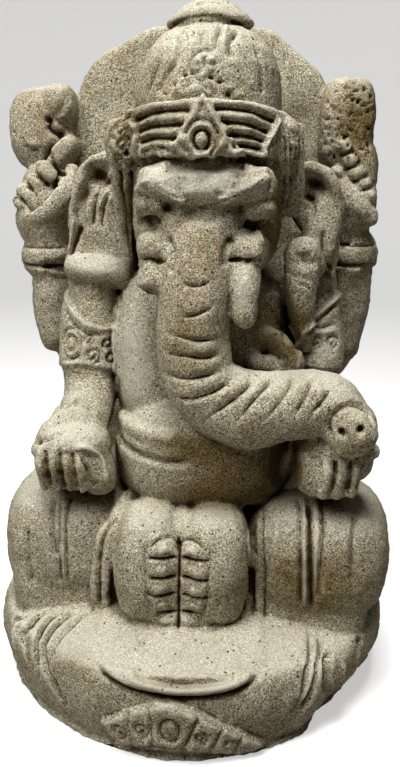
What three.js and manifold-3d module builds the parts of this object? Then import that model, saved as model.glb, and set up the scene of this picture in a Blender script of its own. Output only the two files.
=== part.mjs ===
// A seated elephant-headed figure with four arms, carved from one block of lava stone.
// Millimetres, +Z up, the figure faces -Y. The origin is on the underside, at the centre of the round base.
// "Right" and "left" in the names are the viewer's, as the figure is seen from the front.
import * as THREE from "three";
import { mergeVertices } from "three/addons/utils/BufferGeometryUtils.js";
import Module from "manifold-3d";

const wasm = await Module();
wasm.setup();

// Driving sizes
const HEIGHT = 800;
const BASE_X = -5;
const BASE_HALF_WIDTH = 242;
const BASE_HALF_DEPTH = 241;
const BASE_SIDES = 28;
const SEAT_Z = 105;
const BACK_Y = 170;
const SLAB_FRONT_Y = 95;
const SLAB_EDGE = 14;
const LEG_TALL = 142;
const FOOT_HALF_WIDTH = 42;
const TOES = 5;
const TOES_X = -9;
const TOES_TOP_Z = 224;
const TOES_BOTTOM_Z = 122;
const TOE_HALF_WIDTH = 16;
const BELLY_HALF_WIDTH = 112;
const CHEST_HALF_WIDTH = 110;
const ARM_HALF_WIDTH = 33;
const FINGER = 10;
const TRUNK_HALF_WIDTH = 38;
const TRUNK_RIDGES = 10;
const TUSK_RADIUS = 15;
const FACE_HALF_WIDTH = 84;
const EAR_THICKNESS = 40;
const CROWN_HALF_WIDTH = 82;
const CROWN_HALF_DEPTH = 80;
const BAND_X = 5;
const BAND_Y = -32;
const BAND_HALF_WIDTH = 97;
const BAND_HALF_DEPTH = 96;
const BAND_BOTTOM_Z = 618;
const BAND_TOP_Z = 680;
const BAND_RIDGES = 5;
const BAND_SIDE_DROP = 10;

// Half the outline of the cushion-shaped base, from the floor up. reach is a share of its half width.
const BASE_PROFILE = [
  { reach: 0.985, z: 0 },
  { reach: 1.003, z: 22 },
  { reach: 1.015, z: 50 },
  { reach: 1.0, z: 80 },
  { reach: 0.95, z: 100 },
  { reach: 0.78, z: 114 },
  { reach: 0, z: 126 },
];

// Turns a geometry into a closed solid: vertices are merged and triangles that have collapsed are dropped.
function solid(geometry) {
  const bare = geometry.index ? geometry.clone() : mergeVertices(geometry);
  bare.deleteAttribute("normal");
  bare.deleteAttribute("uv");
  const merged = mergeVertices(bare, 1e-3);
  const corners = merged.index.array;
  const kept = [];
  for (let i = 0; i < corners.length; i += 3) {
    const [a, b, c] = corners.slice(i, i + 3);
    if (a !== b && b !== c && c !== a) kept.push(a, b, c);
  }
  const made = new wasm.Manifold(
    new wasm.Mesh({
      numProp: 3,
      vertProperties: merged.attributes.position.array,
      triVerts: new Uint32Array(kept),
    }),
  );
  if (made.volume() > 0) return made;
  for (let i = 0; i < kept.length; i += 3) [kept[i + 1], kept[i + 2]] = [kept[i + 2], kept[i + 1]];
  return new wasm.Manifold(
    new wasm.Mesh({
      numProp: 3,
      vertProperties: merged.attributes.position.array,
      triVerts: new Uint32Array(kept),
    }),
  );
}

function join(solids) {
  return solids.reduce((whole, next) => whole.add(next));
}

// Moves every vertex of a geometry with a function of its place.
function reshape(geometry, move) {
  const place = geometry.attributes.position;
  const v = new THREE.Vector3();
  for (let i = 0; i < place.count; i += 1) {
    v.fromBufferAttribute(place, i);
    move(v);
    place.setXYZ(i, v.x, v.y, v.z);
  }
  return geometry;
}

// A rounded lump. square is 2 for an egg and more for a boxier form; tilt is in degrees about X, Y and Z.
function lump(at, radii, { square = 2, tilt = [0, 0, 0], around = 12, rings = 8 } = {}) {
  const turn = new THREE.Euler(...tilt.map(THREE.MathUtils.degToRad));
  const middle = new THREE.Vector3(...at);
  const stretch = new THREE.Vector3(...radii);
  const ball = new THREE.SphereGeometry(1, around, rings).rotateX(Math.PI / 2);
  return solid(
    reshape(ball, (v) => {
      const sum = Math.abs(v.x) ** square + Math.abs(v.y) ** square + Math.abs(v.z) ** square;
      v.divideScalar(sum ** (1 / square)).multiply(stretch).applyEuler(turn).add(middle);
    }),
  );
}

// A limb with round ends that follows a smooth line. Each point is [x, y, z, half width, half depth].
// ripple makes every other section fuller by that share, which ridges the skin across.
function limb(points, { around = 10, steps = 8, caps = 3, ripple = 0 } = {}) {
  const line = new THREE.CatmullRomCurve3(points.map(([x, y, z]) => new THREE.Vector3(x, y, z)));
  const sizes = new THREE.CatmullRomCurve3(
    points.map(([, , , wide, deep = wide]) => new THREE.Vector3(wide, deep, 0)),
  );
  const back = new THREE.Vector3(0, 1, 0);
  const capsule = new THREE.CapsuleGeometry(1, 2, caps, around, steps);
  return solid(
    reshape(capsule, (v) => {
      const share = THREE.MathUtils.clamp((v.y + 1) / 2, 0, 1);
      const past = v.y - THREE.MathUtils.clamp(v.y, -1, 1);
      const swell = 1 + (Math.round(share * steps) % 2 ? ripple : -ripple);
      const size = sizes.getPoint(share).multiplyScalar(swell);
      const along = line.getTangent(share).normalize();
      const side = new THREE.Vector3().crossVectors(back, along).normalize();
      const depth = new THREE.Vector3().crossVectors(along, side);
      const { x, z } = v;
      v.copy(line.getPoint(share));
      v.addScaledVector(side, x * size.x);
      v.addScaledVector(depth, z * size.y);
      v.addScaledVector(along, past * size.x);
    }),
  );
}

// A flat plate from an outline of [x, z] points, its front at y and its edges rounded off.
function plate(outline, front, thickness, { edge = 8, smooth = true, steps = 3 } = {}) {
  const corners = outline.map(([x, z]) => new THREE.Vector2(x, z));
  const shape = smooth
    ? new THREE.Shape(new THREE.SplineCurve([...corners, corners[0]]).getPoints(corners.length * steps).slice(0, -1))
    : new THREE.Shape(corners);
  const body = new THREE.ExtrudeGeometry(shape, {
    depth: thickness - 2 * edge,
    bevelThickness: edge,
    bevelSize: edge,
    bevelOffset: -edge,
    bevelSegments: 1,
  });
  body.translate(0, 0, edge).rotateX(Math.PI / 2);
  reshape(body, (v) => v.set(v.x, front - v.y, v.z));
  return solid(body);
}

// How far the base reaches at height z, as a share of its half width.
function baseReach(z) {
  const above = Math.max(1, BASE_PROFILE.findIndex((ring) => ring.z >= z));
  const [low, high] = [BASE_PROFILE[above - 1], BASE_PROFILE[above]];
  return THREE.MathUtils.mapLinear(z, low.z, high.z, low.reach, high.reach);
}

// The place on the front of the base at x and z, or out millimetres in front of it.
function onBase(x, z, out = 0) {
  const reach = baseReach(z);
  const across = THREE.MathUtils.clamp((x - BASE_X) / (BASE_HALF_WIDTH * reach), -1, 1);
  return new THREE.Vector3(x, -BASE_HALF_DEPTH * reach * Math.sqrt(1 - across ** 2) - out, z);
}

// The cushion, cut flat behind and drawn in below. Its lower edge is broken away at the front right.
function base() {
  const outline = [
    new THREE.Vector2(0, 0),
    ...BASE_PROFILE.map(({ reach, z }) => new THREE.Vector2(reach, z)),
  ];
  const cushion = new THREE.LatheGeometry(outline, BASE_SIDES).rotateX(Math.PI / 2);
  const broken = { from: -48, to: -4, below: 50, depth: 0.06 };
  const drawnIn = { below: 50, depth: 0.035 };
  return solid(
    reshape(cushion, (v) => {
      const angle = Math.atan2(v.y, v.x);
      const turn = THREE.MathUtils.radToDeg(angle);
      const corner = v.y < 0 ? Math.abs(Math.sin(2 * angle)) : 0;
      const chipped = turn > broken.from && turn < broken.to ? broken.depth : 0;
      const kept = 1 - drawnIn.depth * corner * Math.max(0, 1 - v.z / drawnIn.below)
        - chipped * Math.max(0, 1 - v.z / broken.below);
      v.set(
        v.x * kept * BASE_HALF_WIDTH + BASE_X,
        Math.min(v.y * kept * BASE_HALF_DEPTH, BACK_Y),
        v.z,
      );
    }),
  );
}

// Low carving on the front of the base: a hanging cloth edge, and a triangle of leaves under it.
function baseCarving() {
  const hem = [[-98, 104], [-84, 92], [-58, 82], [-20, 75], [20, 75], [56, 84], [80, 98]];
  const hemLine = limb(hem.map(([x, z]) => [x, onBase(x, z).y + 3, z, 7, 7]), { around: 5, steps: 7, caps: 1 });
  const leaves = new THREE.Shape([
    new THREE.Vector2(-8, 82), new THREE.Vector2(-36, 70), new THREE.Vector2(-79, 44), new THREE.Vector2(-46, 22),
    new THREE.Vector2(10, 16), new THREE.Vector2(66, 14), new THREE.Vector2(78, 24), new THREE.Vector2(32, 60),
  ]);
  const pad = new THREE.ExtrudeGeometry(leaves, { depth: 18, bevelEnabled: false });
  reshape(pad, (v) => v.copy(onBase(v.x, v.y, v.z - 12)));
  const middleLeaf = lump([-10, onBase(-10, 44).y - 5, 44], [12, 8, 17], { around: 6, rings: 4 });
  return join([hemLine, solid(pad), middleLeaf]);
}

function legs() {
  const knees = [
    { x: -148, y: -34, halfWide: 86, halfDeep: 102, turn: 6 },
    { x: 150, y: -56, halfWide: 85, halfDeep: 114, turn: -6 },
  ].map(({ x, y, halfWide, halfDeep, turn }) =>
    lump([x, y, SEAT_Z + LEG_TALL / 2], [halfWide, halfDeep, LEG_TALL / 2],
      { square: 3.4, around: 12, rings: 6, tilt: [0, 0, turn] }));
  return join([
    ...knees,
    lump([0, 60, 176], [165, 105, 82], { square: 3, around: 8, rings: 4 }),
    ...clothFolds(),
  ]);
}

// Upright folds of the skirt that hang over each shin.
function clothFolds() {
  const folds = [
    { x: -186, y: -124, lean: 8 },
    { x: 134, y: -166, lean: -2 },
    { x: 84, y: -150, lean: 0 },
  ];
  return folds.map(({ x, y, lean }) =>
    limb([[x - lean, y + 20, 226, 8, 12], [x, y, 176, 8, 12], [x + lean, y + 16, 122, 8, 12]],
      { around: 5, steps: 2, caps: 1 }));
}

// Two feet drawn up side by side in front, soles together. The toes of each lie one above the other.
function feet() {
  const heels = [
    { x: -46, z: 174 },
    { x: 29, z: 176 },
  ].map(({ x, z }) =>
    lump([x, -112, z], [FOOT_HALF_WIDTH, 60, 71], { square: 2.6, around: 12, rings: 6 }));
  const pitch = (TOES_TOP_Z - TOES_BOTTOM_Z) / (2 * TOES);
  const columns = [-1, 1].map((side) => {
    const line = Array.from({ length: 2 * TOES + 1 }, (_, i) => {
      const bulge = i % 2 ? 1 : 0.74;
      const bow = 8 * Math.sin((Math.PI * i) / (2 * TOES));
      return [TOES_X + side * TOE_HALF_WIDTH, -158 - bow, TOES_TOP_Z - i * pitch, TOE_HALF_WIDTH * bulge, 18 * bulge];
    });
    return limb(line, { around: 6, steps: 2 * TOES, caps: 1 });
  });
  return join([...heels, ...columns]);
}

function torso() {
  const belly = lump([8, -12, 292], [BELLY_HALF_WIDTH, 112, 80], { square: 2.4, around: 14, rings: 6 });
  const chest = lump([0, 22, 400], [CHEST_HALF_WIDTH, 98, 118], { square: 2.8, around: 12, rings: 6 });
  const breast = lump([-66, -16, 402], [66, 60, 98], { square: 3, around: 10, rings: 6 });
  return join([belly, chest, breast]);
}

// The slab behind the figure, with a round top.
function slab() {
  const outline = [
    [-176, 110], [-182, 300], [-184, 480], [-182, 600], [-179, 680], [-166, 730], [-146, 757], [-118, 774],
    [-72, 793], [-4, 799], [62, 794], [88, 780], [114, 760], [138, 736], [154, 690], [164, 600], [170, 480],
    [170, 300], [168, 110],
  ];
  return plate(outline, SLAB_FRONT_Y, BACK_Y - SLAB_FRONT_Y, { edge: SLAB_EDGE, steps: 1 });
}

// The raised pair of arms, seen from the elbows up: forearm, bracelet and fist in one sweep.
function rearArms() {
  const sweep = [
    { z: 430, y: 90, wide: 34, deep: 42 },
    { z: 500, y: 86, wide: 31, deep: 38 },
    { z: 503, y: 86, wide: 37, deep: 44 },
    { z: 514, y: 86, wide: 37, deep: 44 },
    { z: 517, y: 86, wide: 31, deep: 38 },
    { z: 550, y: 80, wide: 37, deep: 44 },
    { z: 578, y: 78, wide: 32, deep: 38 },
  ];
  return join([
    { x: -208, out: -1, elbow: -176 },
    { x: 183, out: 1, elbow: 152 },
  ].flatMap(({ x, out, elbow }) => [
    lump([elbow, 95, 440], [62, 46, 92], { around: 10, rings: 6 }),
    limb(sweep.map(({ z, y, wide, deep }) => [x + (out * (z - 430)) / 40, y, z, wide, deep]),
      { around: 8, steps: 6, caps: 2 }),
  ]));
}

// The left raised hand holds a thick round emblem between its curled fingers and its thumb.
function leftEmblem() {
  const fingers = [
    { x: -238, z: 604 },
    { x: -223, z: 608 },
    { x: -208, z: 616 },
  ].map(({ x, z }) =>
    limb([[x, 58, z, FINGER - 1], [x + 2, 44, z - 18, FINGER], [x + 8, 50, z - 38, FINGER - 1]],
      { around: 6, steps: 2, caps: 1 }));
  return join([
    lump([-222, 95, 666], [41, 36, 60], { around: 12, rings: 6 }),
    lump([-192, 90, 698], [18, 36, 34], { square: 2.4, around: 8, rings: 4 }),
    lump([-190, 88, 636], [18, 30, 26], { square: 2.6, around: 8, rings: 4, tilt: [0, 30, 0] }),
    ...fingers,
    limb([[-178, 66, 612, 12], [-188, 50, 582, 13], [-206, 52, 552, 13], [-232, 56, 540, 12]],
      { around: 6, steps: 3, caps: 1 }),
  ]);
}

// The right raised hand holds a rough block. Its finger joints run down the block's outer edge.
function rightEmblem() {
  const joints = 5;
  const knuckles = Array.from({ length: 2 * joints + 1 }, (_, i) => {
    const down = i / (2 * joints);
    const bulge = i % 2 ? 1 : 0.6;
    return [174 + 30 * down, 60, 658 - 76 * down, 11 * bulge, 15 * bulge];
  });
  return join([
    lump([174, 95, 676], [35, 38, 56], { square: 3.2, around: 12, rings: 6 }),
    lump([184, 88, 622], [30, 38, 44], { square: 2.5, around: 10, rings: 4 }),
    limb(knuckles, { around: 6, steps: 2 * joints, caps: 1 }),
    limb([[165, 58, 604, 12], [178, 48, 582, 13], [204, 52, 566, 12]], { around: 6, steps: 2, caps: 1 }),
  ]);
}

// The lower pair of arms, with a carved band round each upper arm.
function frontArms() {
  const wide = ARM_HALF_WIDTH;
  return join([
    limb([[-130, 34, 484, wide - 1, 42], [-134, 6, 422, wide, 42], [-134, 3, 416, wide + 5, 47],
      [-134, -6, 380, wide + 5, 46], [-134, -9, 374, wide, 40], [-132, -36, 342, wide - 1, 32],
      [-138, -76, 318, wide + 2, 26]], { around: 8, steps: 6, caps: 1 }),
    lump([-152, -44, 404], [14, 9, 17], { around: 6, rings: 4 }),
    limb([[134, 38, 484, 29, 40], [137, 12, 424, 30, 40], [138, 8, 416, 34, 45], [140, 0, 386, 34, 45],
      [141, -4, 380, 29, 40], [150, -36, 350, 30, 34], [160, -76, 328, 32, 30]],
      { around: 8, steps: 6, caps: 1 }),
  ]);
}

// The left front hand lies on the knee, its four fingers side by side and the thumb along the top.
function leftHand() {
  const fingers = [
    { top: -166, tip: -164 },
    { top: -150, tip: -149 },
    { top: -133, tip: -134 },
    { top: -114, tip: -116 },
  ].map(({ top, tip }) =>
    limb([[top, -118, 300, FINGER], [(top + tip) / 2, -134, 284, FINGER + 1], [tip, -128, 261, FINGER]],
      { around: 6, steps: 2, caps: 1 }));
  return join([
    lump([-136, -92, 300], [42, 44, 30], { square: 2.4, around: 10, rings: 6 }),
    lump([-102, -108, 282], [18, 24, 28], { square: 2.4, around: 8, rings: 4, tilt: [0, -20, 0] }),
    limb([[-140, -78, 334, 11], [-164, -98, 322, 12], [-174, -114, 302, 10]], { around: 6, steps: 2, caps: 1 }),
    ...fingers,
  ]);
}

// The right front hand holds its fingers down in front, under the end of the trunk.
function rightHand() {
  const fingers = [
    { top: 152, tip: 150 },
    { top: 169, tip: 167 },
    { top: 186, tip: 182 },
  ].map(({ top, tip }) =>
    limb([[top, -122, 312, FINGER - 1], [(top + tip) / 2, -134, 292, FINGER - 1], [tip, -128, 268, FINGER - 2]],
      { around: 6, steps: 2, caps: 1 }));
  return join([
    lump([162, -98, 306], [42, 38, 36], { square: 2.5, around: 10, rings: 6 }),
    lump([133, -118, 290], [14, 18, 30], { square: 2.8, around: 8, rings: 4 }),
    lump([199, -112, 314], [9, 12, 9], { around: 6, rings: 4 }),
    ...fingers,
  ]);
}

// The trunk hangs from between the tusks and turns to the right over the belly, ridged across.
function trunk() {
  const wide = TRUNK_HALF_WIDTH;
  const line = [
    [5, -84, 566, wide + 18, 36], [2, -98, 522, wide + 2, 40], [2, -106, 468, wide - 2, 43],
    [5, -110, 424, wide - 3, 45], [16, -114, 382, wide + 1, 45], [58, -116, 360, wide + 4, 44],
    [106, -116, 366, wide, 42], [146, -116, 366, wide - 4, 38], [172, -126, 346, wide - 9, 34],
  ];
  return join([
    limb(line, { around: 8, steps: 2 * TRUNK_RIDGES, caps: 1, ripple: 0.035 }),
    lump([172, -142, 342], [28, 26, 28], { around: 8, rings: 6 }),
  ]);
}

// The head is boxy: a forehead that overhangs the eyes, then a muzzle that widens over the tusks.
function head() {
  const tusk = TUSK_RADIUS;
  return join([
    lump([6, 62, 620], [70, 60, 140], { square: 3, around: 8, rings: 4 }),
    lump([8, -16, 590], [FACE_HALF_WIDTH, 90, 96], { square: 3.4, around: 12, rings: 6 }),
    lump([14, -80, 606], [74, 42, 22], { square: 3, around: 12, rings: 4 }),
    lump([-21, -88, 590], [33, 33, 14], { square: 2.6, around: 8, rings: 4, tilt: [0, 10, 0] }),
    lump([36, -88, 592], [36, 33, 14], { square: 2.6, around: 8, rings: 4, tilt: [0, -14, 0] }),
    lump([-52, -92, 571], [15, 14, 10], { square: 2.4, around: 6, rings: 4, tilt: [0, 10, 0] }),
    lump([66, -92, 567], [15, 14, 11], { square: 2.4, around: 6, rings: 4, tilt: [0, -10, 0] }),
    lump([8, -70, 540], [70, 50, 34], { square: 3, around: 12, rings: 4 }),
    lump([-40, -92, 534], [24, 32, 20], { around: 8, rings: 4 }),
    lump([56, -92, 534], [25, 32, 20], { around: 8, rings: 4 }),
    limb([[53, -98, 525, tusk], [54, -116, 494, tusk + 1], [55, -120, 463, tusk]], { around: 8, steps: 2, caps: 2 }),
    limb([[-42, -98, 518, tusk], [-43, -104, 505, tusk]], { around: 6, steps: 1, caps: 2 }),
  ]);
}

// Each ear hangs from under the band as a broad leaf, hollow at the top and thick along its hem.
function ears() {
  const left = [
    [-88, 645], [-110, 640], [-132, 616], [-148, 579], [-157, 539], [-163, 496], [-124, 499], [-86, 491],
    [-80, 540], [-80, 600],
  ];
  const right = [
    [92, 632], [112, 632], [128, 628], [146, 616], [157, 594], [162, 556], [162, 490], [146, 496],
    [126, 520], [108, 560], [88, 600],
  ];
  const leftHollow = lump([-121, -42, 606], [15, 24, 20], { around: 8, rings: 4, tilt: [0, -30, 0] });
  const rightHollow = lump([130, -42, 606], [14, 22, 16], { around: 8, rings: 4, tilt: [0, 20, 0] });
  return join([
    plate(left, -24, EAR_THICKNESS, { edge: 6, steps: 1 }).subtract(leftHollow),
    plate(right, -22, EAR_THICKNESS, { edge: 6, steps: 1 }).subtract(rightHollow),
    limb([[-155, -24, 503, 9, 8], [-124, -26, 506, 10, 9], [-94, -24, 500, 9, 8]], { around: 6, steps: 3, caps: 1 }),
    limb([[112, -20, 628, 7], [138, -24, 620, 7], [153, -22, 598, 6]], { around: 6, steps: 3, caps: 1 }),
  ]);
}

// The sacred snake rises beside the right tusk, and its coils lie over the chest beside the trunk.
function snake() {
  return join([
    limb([[112, -46, 532, 20, 20], [112, -48, 490, 21, 18], [116, -42, 455, 16, 14], [121, -38, 430, 10, 10]],
      { around: 8, steps: 4, caps: 2 }),
    lump([122, -58, 534], [16, 16, 13], { around: 6, rings: 4 }),
    limb([[66, -54, 430, 13], [92, -62, 424, 14], [106, -62, 404, 13], [108, -58, 384, 11]],
      { around: 6, steps: 4, caps: 1 }),
    limb([[66, -66, 400, 11], [88, -70, 398, 11], [98, -68, 384, 10]], { around: 6, steps: 2, caps: 1 }),
  ]);
}

// Half the outline of the headdress above the band: a tall dome, then the rim and top of its small lid.
const CROWN_PROFILE = [
  { reach: 1.0, z: 670 },
  { reach: 1.0, z: 695 },
  { reach: 0.94, z: 720 },
  { reach: 0.8, z: 744 },
  { reach: 0.6, z: 758 },
  { reach: 0.6, z: 768 },
  { reach: 0.5, z: 780 },
  { reach: 0.36, z: 790 },
  { reach: 0, z: HEIGHT },
];

function crown() {
  const outline = CROWN_PROFILE.map(({ reach, z }) => new THREE.Vector2(reach, z));
  const dome = new THREE.LatheGeometry([new THREE.Vector2(0, 670), ...outline], 14).rotateX(Math.PI / 2);
  reshape(dome, (v) => v.set(7 + v.x * CROWN_HALF_WIDTH, -22 + v.y * CROWN_HALF_DEPTH, v.z));
  return join([
    solid(dome),
    lump([9, -92, 722], [14, 14, 17], { around: 6, rings: 4 }),
    lump([-4, -98, 694], [26, 16, 14], { around: 8, rings: 4 }),
  ]);
}

// The band around the brow: ridges that run to its two ends, with a pointed ornament and its gem in front.
function browBand() {
  const tall = BAND_TOP_Z - BAND_BOTTOM_Z;
  const profile = Array.from({ length: 2 * BAND_RIDGES + 1 }, (_, i) =>
    new THREE.Vector2(i % 2 ? 1.03 : 0.96, BAND_BOTTOM_Z + (tall * i) / (2 * BAND_RIDGES)));
  const outline = [new THREE.Vector2(0, BAND_BOTTOM_Z), ...profile, new THREE.Vector2(0, BAND_TOP_Z)];
  const band = new THREE.LatheGeometry(outline, 16).rotateX(Math.PI / 2);
  reshape(band, (v) => {
    const aside = Math.min(1, v.x * v.x);
    v.set(BAND_X + v.x * BAND_HALF_WIDTH, BAND_Y + v.y * BAND_HALF_DEPTH, v.z - BAND_SIDE_DROP * aside);
  });
  return join([
    solid(band),
    plate([[7, 684], [-30, 618], [50, 618]], -140, 24, { edge: 4, smooth: false }),
    lump([8, -140, 641], [13, 8, 13], { around: 8, rings: 4 }),
    lump([-86, -78, 640], [16, 18, 26], { around: 6, rings: 4 }),
    lump([92, -66, 636], [14, 22, 32], { around: 6, rings: 4 }),
  ]);
}

function figure() {
  const pieces = [
    base(), baseCarving(), legs(), feet(), torso(), slab(), rearArms(), leftEmblem(), rightEmblem(), frontArms(),
    leftHand(), rightHand(), trunk(), head(), ears(), snake(), crown(), browBand(),
  ];
  const shells = join(pieces).decompose();
  return shells.reduce((most, shell) => (shell.volume() > most.volume() ? shell : most));
}

function toGeometry(made) {
  const mesh = made.getMesh();
  const geometry = new THREE.BufferGeometry();
  geometry.setAttribute("position", new THREE.BufferAttribute(new Float32Array(mesh.vertProperties), 3));
  geometry.setIndex(new THREE.BufferAttribute(new Uint32Array(mesh.triVerts), 1));
  geometry.computeVertexNormals();
  return geometry;
}

const lavaStone = new THREE.MeshStandardMaterial({ color: 0x8f8973, roughness: 0.96, metalness: 0 });
const statue = new THREE.Group();
const carving = new THREE.Mesh(toGeometry(figure()), lavaStone);
carving.name = "carved_figure";
statue.add(carving);

export default statue;
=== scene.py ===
"""Looks of a seated elephant-headed figure with four arms, carved from one block of lava stone.

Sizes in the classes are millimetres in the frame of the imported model: +X is the viewer's right, the figure
faces -Y, +Z is up and the origin is on the underside, at the centre of the round base. "Left" and "right" are
the viewer's. Every form is a closed shape in one bmesh, which is fused into one skin and then carved.
"""

from __future__ import annotations

import logging
import math
import random
from collections.abc import Callable, Iterable, Sequence
from dataclasses import dataclass, field
from enum import Enum
from typing import Any

import bmesh
import bpy
import numpy as np
from mathutils import Euler, Matrix, Vector, noise
from mathutils.bvhtree import BVHTree

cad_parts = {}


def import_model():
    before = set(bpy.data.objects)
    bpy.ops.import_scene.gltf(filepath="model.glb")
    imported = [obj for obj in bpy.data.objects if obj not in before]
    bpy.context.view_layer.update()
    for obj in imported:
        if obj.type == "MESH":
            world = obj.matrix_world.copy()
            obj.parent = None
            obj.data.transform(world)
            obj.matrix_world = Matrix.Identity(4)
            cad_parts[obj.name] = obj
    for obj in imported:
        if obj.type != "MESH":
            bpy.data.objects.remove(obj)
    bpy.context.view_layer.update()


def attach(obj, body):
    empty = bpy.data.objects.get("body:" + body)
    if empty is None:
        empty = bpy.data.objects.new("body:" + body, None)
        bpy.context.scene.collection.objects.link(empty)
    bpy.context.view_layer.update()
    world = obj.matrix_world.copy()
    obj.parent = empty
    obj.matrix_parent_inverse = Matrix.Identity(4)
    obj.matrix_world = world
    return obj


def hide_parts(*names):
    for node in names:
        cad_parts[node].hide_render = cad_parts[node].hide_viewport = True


MM = 0.001
# The y from which a line of carving is cast back onto the stone, and the gap between its places.
IN_FRONT = -500
SPACING = 1.2
Places = Sequence[Sequence[float]]
Lump = tuple[Sequence[float], Sequence[float], float]
log = logging.getLogger("statue")


class Section(Enum):
    """The section of a line of carving."""

    ROUND = "worn channel or ridge"
    SHARP = "chisel cut"
    STEP = "edge of a layer"


def smooth_line(points: Places, steps: int) -> np.ndarray:
    """Runs a Catmull-Rom curve through points of any number of columns.

    Args:
        points: The points to pass through, at least two.
        steps: The number of equal steps from the first point to the last.

    Returns:
        An array of steps + 1 rows.
    """
    given = np.array(points, dtype=float)
    padded = np.vstack([2 * given[0] - given[1], given, 2 * given[-1] - given[-2]])
    spans = len(given) - 1
    rows = []
    for step in range(steps + 1):
        along = min(step / steps * spans, spans - 1e-9)
        span = int(along)
        t = along - span
        before, start, end, after = padded[span : span + 4]
        rows.append(
            0.5
            * (
                2 * start
                + (end - before) * t
                + (2 * before - 5 * start + 4 * end - after) * t**2
                + (3 * start - before - 3 * end + after) * t**3
            )
        )
    return np.array(rows)


def ring(at: Sequence[float], radii: Sequence[float], start: float = 0, end: float = 1) -> Places:
    """Lists points round an oval, anticlockwise from its right.

    Args:
        at: Its centre as x and z.
        radii: Half its width and half its height.
        start: The share of a turn at which it starts.
        end: The share of a turn at which it ends.

    Returns:
        The points as x and z.
    """
    turns = [2 * math.pi * (start + (end - start) * step / 16) for step in range(17)]
    return [(at[0] + radii[0] * math.cos(turn), at[1] + radii[1] * math.sin(turn)) for turn in turns]


def scroll(at: Sequence[float], size: float) -> Places:
    """Lists points along a scroll that curls in for a turn and a half.

    Args:
        at: Its centre as x and z.
        size: Its outer radius.

    Returns:
        The points as x and z.
    """
    places = []
    for step in range(19):
        turn = -0.6 * math.pi + 3 * math.pi * step / 18
        reach = size * (1 - 0.85 * step / 18)
        places.append((at[0] + reach * math.cos(turn), at[1] + reach * math.sin(turn)))
    return places


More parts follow.
